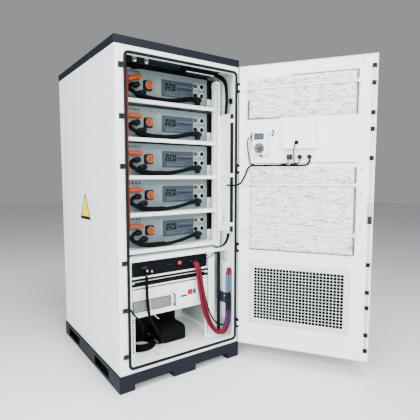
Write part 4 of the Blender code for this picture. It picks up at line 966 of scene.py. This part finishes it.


# Top bay: the junction box under the ceiling, two bright glands over the first module, a black band of
# painted shade across it, and the leads that come down through a grommet.
gland = turned([(0.0001, 0), (0.0130, 0), (0.0130, 0.006), (0.0105, 0.0065), (0.0105, 0.012), (0.0125, 0.013),
                (0.0125, 0.022),
                (0.0085, 0.027), (0.0050, 0.028), (0.0001, 0.0281)], (0, 0, 0), "-z", turns=20)
glands = [(left + 0.157, front + 0.120, 1.706), (left + 0.225, front + 0.120, 1.706)]
gland_metal, gland_place = new_finish("gland_metal", (0.90, 0.86, 0.78), 0.22, 0.85)
feed(gland_metal, "Roughness", 0.18 + gland_place.noise(300.0) * 0.2)
piece("top_glands", [repeated(gland, glands)], gland_metal, slot="zinc")
# A dark green screen above the first module, up to the ceiling, and a thin sheet under the ceiling in front
# of it are painted shade: the top bay lies dark there.
shade = slab((left + 0.050, module_face + 0.020, module_high.z + 0.0015),
             (left + 0.6850, module_face + 0.024, 1.7085), "-y", 0.002, 0.001)
ceiling_shade = slab((left + 0.030, front + 0.022, 1.7098), (left + 0.7200, module_face + 0.020, 1.7112), "-z", 0.002,
             0.0005)
piece("top_bay_shade", [shade, ceiling_shade], powder_coat("top_shade_green", (0.018, 0.030, 0.032), 0.5, soil=0.4,
                                                gloss=0.1), slot="black_coat")
junction_low, junction_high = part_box("junction_box")
edge_line = slab((junction_low.x - 0.001, junction_low.y - 0.0012, junction_low.z - 0.0006),
                 (junction_high.x + 0.001, junction_low.y + 0.004, junction_low.z + 0.0018), "-y", 0.0008,
                 0.0004)
piece("junction_edge", [edge_line], white, slot="white_coat")
grommet_half = turned([(0.0001, 0), (0.0170, 0), (0.0170, 0.010), (0.0140, 0.014), (0.0080, 0.014),
                       (0.0060, 0.006), (0.0001, 0.005)],
                      (left + 0.7440, front + 0.052, 1.532), "-x", 24)
piece("wall_grommet", [grommet_half], gasket_rubber, slot="gasket_rubber")
# A black band over the first module's top edge is painted shade: the dark gap between the module and the
# ceiling.
gap_band = slab((left + 0.060, module_face + 0.004, module_high.z + 0.0015),
            (left + 0.6800, module_face + 0.010, module_high.z + 0.0240), "-y", 0.002, 0.001)
piece("top_gap_shade", [gap_band], hinge_black, slot="black_coat")
for number, (dx, dz) in enumerate(((0.0, 0.0), (0.010, -0.004), (0.020, -0.001), (0.030, -0.006))):
    route = np.array([(0.560, 0.125, 1.701), (0.610, 0.118, 1.697), (0.640, 0.110, 1.690),
                      (0.664, 0.095, 1.684), (0.690, 0.075, 1.668), (0.706, 0.060, 1.640),
                      (0.712, 0.056, 1.590), (0.716, 0.060, 1.545), (0.718, 0.066, 1.500),
                      (0.718, 0.070, 1.462)])
    route = route + (left + dx * 0.4, front + dx, dz)
    black_lead(f"top_lead_{number + 1}", route, 0.0048)
for number, (x, z) in enumerate(((0.157, 1.676), (0.225, 1.676))):
    route = np.array([(x, 0.120, z), (x, 0.122, z - 0.010), (x - 0.02, 0.160, z - 0.012),
                      (x - 0.06, 0.240, z - 0.006)]) + (left, front, 0)
    black_lead(f"gland_lead_{number + 1}", route, 0.0040, 0.006)

# Two black leads from the shelf level down the right wall on to the divider, beside the duct.
for number, dx in enumerate((0.0, 0.012)):
    route = np.array([(0.706, 0.040, 0.752), (0.705, 0.042, 0.735), (0.700, 0.050, 0.705),
                      (0.690, 0.062, 0.682), (0.672, 0.080, 0.6680),
                      (0.650, 0.104, 0.6665)]) + (left + dx, front, 0.001 * number)
    black_lead(f"divider_lead_{number + 1}", route, 0.0045, 0.006)


# Door: a white tray with a flat inner panel, fold lines along its lock edge and small dark quarter-turn
# fasteners. Places on it are (distance from the hinge line, distance out of the inner face, height).
hinge_joint = next(joint for joint in frame["joints"] if joint["name"] == "door_hinge")
opened = math.radians(-hinge_joint["range_deg"][0])
hinge_x, hinge_y = hinge_joint["pos_m"][:2]


def on_door(points):
    """Turns places on the door into the frame's axes, with the door as it stands open."""
    points = np.asarray(points, float)
    along, out = -points[..., 0], points[..., 1]
    return np.stack([hinge_x + along * math.cos(opened) - out * math.sin(opened),
                     hinge_y + along * math.sin(opened) + out * math.cos(opened), points[..., 2]], -1)


def door_piece(name, shapes, finish, slot, **how):
    return piece(name, shapes, finish, body="door", slot=slot, place=on_door, **how)


repaint(white, "door_shell", "door_inner_panel", "cover_box")
door_top, door_bottom = 1.7125, 0.0945
folds = [slab((0.6540, -0.0005, door_bottom + 0.004), (0.6575, 0.0003, door_top - 0.004), "+y", 0.001,
              0.0002),
         slab((0.0100, -0.0005, 1.6545), (0.6540, 0.0003, 1.6580), "+y", 0.001, 0.0002),
         slab((0.0100, -0.0005, 0.1540), (0.6540, 0.0003, 0.1575), "+y", 0.001, 0.0002)]
door_piece("door_folds", folds, white, "white_coat")
fastener = turned([(0.0001, -0.0003), (0.0042, -0.0003), (0.0042, 0.0001), (0.0038, 0.0003),
                   (0.0001, 0.0003)], (0, 0, 0), "+y", 16)
fasteners = [(0.672, 0, z) for z in (1.128, 1.001, 0.828, 0.810)]
fasteners += [(s, 0, z) for s in (0.035, 0.668) for z in (1.690, 0.120)]
door_piece("door_fasteners", [repeated(fastener, fasteners)], black_and_painted_shade, "black_coat")

# Insulation: two foam mats in white film that has creased as it was pressed on, held by flat straps.
film, film_place = new_finish("mat_film", (0.80, 0.82, 0.84), 0.30)
film_cloud = film_place.noise(14.0, 5.0)
wander = film_place.stretched(0.60, 0.60, 2.8).noise(15.0, 6.0)
fine_wander = film_place.stretched(0.6, 0.6, 2.6).noise(42.0, 5.0)


def line_where(field, centre, sharpness):
    """A thin line of ones where the field passes through a centre value."""
    off = field - centre
    return field.node("ShaderNodeClamp", {}, {"Value": (off * off * (-sharpness)) + 1.0})


# Dark lines along the creases, fine and broad, are painted shade in the folds of the film.
crease_shade = line_where(wander, 0.5, 2000.0)
fine_crease_shade = line_where(fine_wander, 0.52, 900.0)
film_white = film_cloud.blend((0.88, 0.90, 0.91), (0.66, 0.70, 0.74))
film_white = (fine_crease_shade * film_cloud * 1.1).blend(film_white, (0.12, 0.14, 0.17))
feed(film, "Base Color", (crease_shade * 0.85).blend(film_white, (0.10, 0.12, 0.15)))
feed(film, "Roughness", 0.20 + film_cloud * 0.25)
feed(film, "Normal", bumps(wander * 3.0 + fine_wander, 0.8, 0.006))


def mat(name, reach, height, thickness, seed):
    """A foam mat: a grid whose height is the thickness times (1 - exp(-distance from the edge / 7 mm)), plus
    creases, each a narrow ridge along a slanting line that wanders with a slow sine."""
    random = np.random.default_rng(seed)
    rows, columns = int((height[1] - height[0]) / 0.004), int((reach[1] - reach[0]) / 0.004)
    u, v = np.meshgrid(np.linspace(*reach, columns), np.linspace(*height, rows))
    edge = np.minimum(np.minimum(u - reach[0], reach[1] - u), np.minimum(v - height[0], height[1] - v))
    top = (thickness - 0.003) * (1 - np.exp(-edge / 0.007))
    crease = np.zeros_like(u)
    for _ in range(44):
        lean, slow, start = random.normal(math.pi / 2,
                                          0.45), random.uniform(8, 22), random.uniform(0, math.tau)
        spot_u, spot_v = random.uniform(*reach), random.uniform(*height)
        across = (u - spot_u) * math.cos(lean) + (v - spot_v) * math.sin(lean)
        run = -(u - spot_u) * math.sin(lean) + (v - spot_v) * math.cos(lean)
        ridge = np.exp(-(((across + 0.006 * np.sin(slow * run + start)) / 0.0055) ** 2))
        crease += random.uniform(0.3, 1.0) * ridge * np.exp(-((run / random.uniform(0.05, 0.16)) ** 2))
    top += 0.0022 * np.minimum(crease, 1.2) * (1 - np.exp(-edge / 0.012))
    top = np.minimum(top, thickness)
    upper = np.stack([u, top + 0.0005, v], -1).reshape(-1, 3)
    cells_r, cells_c = np.mgrid[: rows - 1, : columns - 1]
    first = (cells_r * columns + cells_c).ravel()
    quads = np.stack([first, first + 1, first + columns + 1, first + columns], -1).tolist()
    rim = list(range(columns)) + [r * columns + columns - 1 for r in range(1, rows)]
    rim += [(rows - 1) * columns + c for c in range(columns - 2, -1, -1)] + [r * columns
                                                                             for r in range(rows - 2, 0, -1)]
    obj = door_piece(name, [(upper, quads + [rim])], film, "film_mat", sharp=70)
    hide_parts(name.replace("mat_", "insulation_"))
    return obj


mat("mat_upper", (0.057, 0.638), (1.418, 1.641), 0.020, 3)
mat("mat_lower", (0.067, 0.640), (0.669, 1.142), 0.020, 8)
strap_white = moulded("strap_white", (0.72, 0.75, 0.78), 0.4, dust=0.05)
straps = [slab((0.045, 0.0196, z - 0.008), (0.650, 0.0212, z + 0.008), "+y", 0.002, 0.0006)
          for z in (1.584, 1.047, 0.780)]
straps += [slab((s, -0.0002, z - 0.012), (s + 0.012, 0.0216, z + 0.012), "+y", 0.002, 0.001)
           for s in (0.043, 0.642) for z in (1.584, 1.047, 0.780)]
door_piece("mat_straps", straps, strap_white, "white_coat")
rims = [slab((s, -0.0002, low), (s + 0.0050, 0.0110, high), "+y", 0.0006, 0.0006, 2)
        for s, low, high in ((0.6395, 1.416, 1.643), (0.6415, 0.667, 1.143), (0.0535, 1.416, 1.520))]
rims += [slab((low, -0.0002, z), (high, 0.0050, z + 0.0026), "+y", 0.0006, 0.0006, 2)
         for z, low, high in ((1.6425, 0.300, 0.640), (1.4150, 0.057, 0.240), (0.6660, 0.067, 0.640),
                              (1.1640, 0.057, 0.640))]
rims += [slab((0.046, 0.0208, z), (0.650, 0.0214, z + 0.0014), "+y", 0.0005, 0.0004, 2)
         for z in (1.5905, 1.576, 1.0535, 1.0390, 0.7865)]
door_piece("mat_rims", rims, moulded("rim_shade", (0.045, 0.055, 0.070), 0.6, dust=0.0, gloss=0.1),
           "black_coat")

# Cover box: a white steel box over the cable entry, with corner screws and a grommet below its middle.
box_screws = [(s, 0.036, z) for s in (0.270, 0.427) for z in (1.251, 1.392)]
door_piece("box_screws", [repeated(fastener, box_screws)], zinc, "zinc")
grommet = turned([(0.0001, -0.001), (0.0118, -0.001), (0.0118, 0.003), (0.0088, 0.006), (0.0045, 0.006),
                  (0.0040, 0.0015), (0.0001, 0.0014)],
                 (0.336, 0.036, 1.276), "+y", 20)
door_piece("box_grommet", [grommet], gasket_rubber, "gasket_rubber")
box_dot = turned([(0.0001, -0.0003), (0.0030, -0.0003), (0.0030, 0.0008), (0.0001, 0.0010)], (0, 0, 0), "+y",
                 12)
door_piece("box_dots", [repeated(box_dot, [(s, 0.036, z) for s,
                                           z in ((0.276, 1.316), (0.327, 1.329), (0.367, 1.332),
                                                 (0.419, 1.323), (0.310, 1.388), (0.390, 1.390))])],
                                                 black_and_painted_shade, "black_coat")

# Dehumidifier: a pale moulded unit with a blue display, a louvred fan, a green terminal strip on its left
# and a grey lead, and a small black drain nozzle under it.
pale_plastic = moulded("pale_plastic", (0.78, 0.80, 0.82), 0.38, dust=0.03)
repaint(pale_plastic, "dehumidifier_case")
repaint(moulded("fan_grey", (0.006, 0.008, 0.011), 0.4, dust=0.0, gloss=0.15), "dehumidifier_fan")
display_glass, display_place = new_finish("display_glass", (0.01, 0.04, 0.08), 0.30, Specular_IOR_Level=0.2)
display_rows = display_place.along("Z") > 1.3215
feed(display_glass, "Base Color", display_rows.blend((0.010, 0.040, 0.070), (0.003, 0.012, 0.030)))
door_piece("display", [slab((0.101, 0.044, 1.296), (0.158, 0.0462, 1.332), "+y", 0.002, 0.0008)],
           display_glass, "black_coat")
door_piece("display_lines", [slab((0.108, 0.0455, z), (0.150, 0.0465, z + 0.0035), "+y", 0.0006, 0.0002, 2)
                             for z in (1.300, 1.308, 1.3155)],
           moulded("display_pale", (0.030, 0.085, 0.120), 0.4, dust=0.0, gloss=0.1), "grey_cap")
guard = []
for radius, half_band in ((0.0100, 0.0009), (0.0190, 0.0009), (0.0283, 0.0018)):
    rings = [turned([(radius + r, h)], (0.131, 0.0452, 1.248), "+y", 32)[0]
             for r, h in ((-half_band, 0.0), (half_band, 0.0), (half_band, 0.0018), (-half_band, 0.0018))]
    guard.append(skinned(np.stack(rings), capped=False))
for lean in (0.6, 0.6 + math.tau / 3, 0.6 + 2 * math.tau / 3):
    bar = slab((0.0, 0.0006, -0.0011), (0.0285, 0.0020, 0.0011), "+y", 0.0008, 0.0004, 2)
    points = bar[0].copy()
    swung = np.column_stack([0.131 + points[:, 0] * math.cos(lean) - points[:, 2] * math.sin(lean),
                             0.0452 + points[:, 1],
                             1.248 + points[:, 0] * math.sin(lean) + points[:, 2] * math.cos(lean)])
    guard.append((swung, bar[1]))
door_piece("fan_guard", guard, moulded("guard_grey", (0.11, 0.13, 0.15), 0.4, dust=0.0, gloss=0.2),
           "black_sleeve")
strip = [slab((0.0800, 0.006, 1.290), (0.0905, 0.030, 1.338), "+y", 0.002, 0.001)]
strip += [slab((0.0800, 0.0295, 1.293 + 0.0088 * i), (0.0895, 0.0325, 1.2985 + 0.0088 * i), "+y", 0.001,
               0.0005, 2) for i in range(5)]
door_piece("terminal_strip", strip, moulded("strip_green", (0.010, 0.040, 0.030), 0.4, dust=0.0, gloss=0.1),
           "black_sleeve")
nozzle = turned([(0.0001, -0.002), (0.0060, -0.002), (0.0060, 0.006), (0.0042, 0.008), (0.0042, 0.013),
                 (0.0001, 0.0131)],
                (0.137, 0.024, 1.2135), "-z", 18)
door_piece("drain_nozzle", [nozzle], black_plastic, "black_sleeve")
humid_route = [(0.0840, 0.033, 1.318), (0.0740, 0.040, 1.312), (0.0640, 0.036, 1.300), (0.0580, 0.026, 1.280),
               (0.0570, 0.016, 1.250),
               (0.0600, 0.010, 1.220), (0.0640, 0.008, 1.195), (0.0700, 0.007, 1.170),
               (0.0800, 0.0066, 1.1610), (0.0950, 0.0064, 1.1612)]
lead("humidity_lead", on_door(through(humid_route, 0.006)), 0.0038,
     moulded("grey_sleeve", (0.030, 0.034, 0.040), 0.45, dust=0.0, gloss=0.1), body="door")
sensor_route = [(0.196, 0.0030, 1.352), (0.200, 0.008, 1.350), (0.203, 0.009, 1.338), (0.198, 0.006, 1.322),
                (0.191, 0.0034, 1.318)]
lead("sensor_hook", on_door(through(sensor_route, 0.003)), 0.0034, black_sleeve, body="door")

# Switches: an emergency stop and two lamps or buttons through the door; inside, the red contact block and
# two round black ones with their terminal screws.
switch_finish, switch_place = new_finish("switch_bodies", (0.004, 0.004, 0.005), 0.45,
                                         Specular_IOR_Level=0.12)
near_stop = (switch_place.along("Y") > float(on_door([0.3245, 0.0, 0.0])[1])) * 1.0
switch_cloud = switch_place.noise(180.0)
feed(switch_finish, "Base Color", near_stop.blend((0.0015, 0.002, 0.003), (0.050, 0.004, 0.004)))
feed(switch_finish, "Roughness", 0.28 + switch_cloud * 0.2)
repaint(switch_finish, "switch_bracket")
repaint(moulded("stop_red", (0.55, 0.02, 0.018), 0.22, dust=0.02), "estop_head")
repaint(moulded("button_pale", (0.66, 0.70, 0.72), 0.22, dust=0.02), "push_button_1", "push_button_2")
terminals = [(s + ds, 0.0222 if s > 0.31 else 0.0302, 1.199 + dz) for s in (0.297, 0.352, 0.403)
             for ds in (-0.006, 0.006) for dz in (-0.006, 0.006)]
small_screw = turned([(0.0001, -0.0004), (0.0022, -0.0004), (0.0022, 0.0008), (0.0001, 0.0010)], (0, 0, 0),
                     "+y", 12)
door_piece("switch_terminals", [repeated(small_screw, terminals)], striker_black, "black_coat")

# Door lead: black, clipped along the top of the lower mat, with tails to the switches and the cover box.
door_route = [(0.403, 0.011, 1.1865), (0.403, 0.0105, 1.173), (0.393, 0.008, 1.1575), (0.373, 0.0065, 1.1535),
              (0.300, 0.0062, 1.1525),
              (0.200, 0.0062, 1.1545), (0.120, 0.0062, 1.1535), (0.080, 0.0062, 1.1535)]
door_lead = lead("door_lead", on_door(through(door_route, 0.008)), 0.0050, black_sleeve, body="door")
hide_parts("door_harness")
tails = {
    "stop_tail": [(0.291, 0.026, 1.188), (0.290, 0.024, 1.178), (0.288, 0.014, 1.165), (0.275, 0.010, 1.1605),
                  (0.250, 0.0072, 1.1600)],
    "button_tail": [(0.352, 0.018, 1.190), (0.351, 0.016, 1.178), (0.345, 0.011, 1.1665),
                    (0.325, 0.0085, 1.1610), (0.300, 0.0075, 1.1600)],
    "grommet_tail": [(0.336, 0.0375, 1.276), (0.335, 0.0450, 1.274), (0.330, 0.0470, 1.266),
                     (0.325, 0.0420, 1.250), (0.322, 0.0380, 1.236),
                     (0.321, 0.0280, 1.215), (0.321, 0.0180, 1.192), (0.322, 0.0120, 1.172),
                     (0.330, 0.0090, 1.158)],
}
for name, route in tails.items():
    lead(name, on_door(through(route, 0.005)), 0.0028, black_sleeve, body="door")
clip = slab((-0.006, 0.0, -0.006), (0.006, 0.0106, 0.0062), "+y", 0.002, 0.002, 3)
door_piece("lead_clips", [repeated(clip, [(s, 0.0, 1.1536) for s in (0.335, 0.245, 0.160)])], black_plastic,
           "black_sleeve")

# Crossing loop: the same lead hangs free between the door and the duct's face, slack enough for the door to
# shut.
loop_door = [(0.0796, 0.0062, 1.1535), (0.0740, 0.0062, 1.1535), (0.0565, 0.0110, 1.1355),
             (0.0440, 0.0150, 1.1015), (0.0260, 0.0180, 1.0655)]
loop_cabinet = [(hinge_x - 0.0055, front - 0.0330, 1.051), (hinge_x - 0.0160, front - 0.0220, 1.044),
                (hinge_x - 0.0290, front - 0.0175, 1.041),
                (hinge_x - 0.0410, front - 0.0090, 1.040), (hinge_x - 0.0465, front + 0.0090, 1.040),
                (hinge_x - 0.0470, front + 0.0270, 1.040),
                (duct_low.x - 0.0076, front + 0.0480, 1.040), (duct_low.x, front + 0.0482, 1.040)]
loop_route = through(np.vstack([on_door(loop_door), loop_cabinet]), 0.005)


def tube(route, radius, turns=14):
    """A round tube along a route. Its first outline is square to the first stretch, and each next outline
    keeps the one before it turned as little as the bend needs."""
    heading = np.gradient(route, axis=0)
    heading /= np.linalg.norm(heading, axis=1)[:, None]
    side = np.cross(heading[0], (0, 0, 1.0))
    sides = []
    for direction in heading:
        side = side - direction * (side @ direction)
        side = side / np.linalg.norm(side)
        sides.append(side)
    sides = np.array(sides)
    other = np.cross(heading, sides)
    around = np.linspace(0, math.tau, turns, endpoint=False)[None, :, None]
    return skinned(route[:, None] + radius
                   * (np.cos(around) * sides[:, None] + np.sin(around) * other[:, None]))


crossing_loop = piece("crossing_loop", [tube(loop_route, 0.0050)], black_sleeve, body=None,
                      slot="black_sleeve")
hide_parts("harness_loop")
tuple(on_door((-0.045, 0.045, 1.042)))
tuple(on_door(loop_door[2]))
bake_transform(crossing_loop)

# Filter cover: a white folded cover over the air inlet, punched with rows of square holes, with a black
# foam filter behind it.
vent_low_s, vent_high_s, vent_low_z, vent_high_z, vent_depth = 0.080, 0.625, 0.240, 0.590, 0.0255
vent_size = (vent_high_s - vent_low_s, vent_high_z - vent_low_z)
vent = perforated(vent_size, (27, 17), 0.95, 0.0012, 0.004, vent_depth - 0.0005, 0.024)
vent_points = np.column_stack([vent_low_s + vent[0][:, 0], vent_depth + vent[0][:, 2],
                               vent_low_z + vent[0][:, 1]])
grille_white = powder_coat("grille_white", (0.60, 0.645, 0.65), 0.40, soil=0.05)
filter_grille = door_piece("filter_grille", [(vent_points, vent[1])], grille_white, "white_coat")
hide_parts("filter_cover")
foam, foam_place = new_finish("filter_foam", (0.003, 0.003, 0.004), 0.95, Specular_IOR_Level=0.05)
feed(foam, "Base Color", foam_place.noise(500.0).blend((0.0015, 0.0018, 0.0022), (0.006, 0.007, 0.008)))
feed(foam, "Normal", bumps(foam_place.noise(420.0), 0.8, 0.001))
door_piece("filter_foam", [slab((0.100, 0.0100, 0.256), (0.605, 0.0200, 0.574), "+y", 0.004, 0.002)], foam,
           "gasket_rubber")
vent_screws = [(s, vent_depth, z) for s in (0.090, 0.615) for z in (0.250, 0.415, 0.580)]
door_piece("vent_screws", [repeated(fastener, vent_screws)], zinc, "zinc")

# Lock: two flat zinc rods slide in black guides; their pins stand in front of the strikers when the door is
# shut. The case in the middle is driven by the outside lever.
repaint(zinc, "lock_rod_upper", "lock_rod_lower")


def latch_black(place):
    return place.along("Z") < 0.884


case_finish, case_place = new_finish("lock_case", (0.45, 0.46, 0.48), 0.4, 0.6)
case_cloud = case_place.noise(90.0, 3.0)
case_grey = case_cloud.blend((0.52, 0.53, 0.54), (0.36, 0.37, 0.39))
feed(case_finish, "Base Color", latch_black(case_place).blend(case_grey, (0.015, 0.016, 0.018)))
feed(case_finish, "Roughness", 0.30 + case_cloud * 0.2)
repaint(case_finish, "lock_case")
guide = [slab((-0.0105, -0.0003, -0.0110), (-0.0062, 0.0082, 0.0110), "+y", 0.001, 0.001, 3),
         slab((0.0062, -0.0003, -0.0110), (0.0105, 0.0082, 0.0110), "+y", 0.001, 0.001, 3),
         slab((-0.0105, 0.0056, -0.0110), (0.0105, 0.0084, 0.0110), "+y", 0.001, 0.001, 3)]
guide_heights = (1.654, 1.569, 1.420, 1.336, 1.187, 0.625, 0.475, 0.391, 0.241, 0.154)
lock_s = hinge_x - striker_x
guides = [repeated(shape, [(lock_s, 0.0, z) for z in guide_heights]) for shape in guide]
door_piece("rod_guides", guides, black_plastic, "black_coat")

# Outside of the door: a black lever in its plate, and folded rain hoods over the louvres.
repaint(hinge_black, "handle_plate", "door_handle")
hood = []
for step in range(7):
    z = 0.290 + 0.036 * step
    hood.append(slab((0.122, -0.0352, z + 0.009), (0.583, -0.0420, z + 0.0155), "-y", 0.002, 0.0018))
door_piece("louvre_hoods", hood, white, "white_coat")
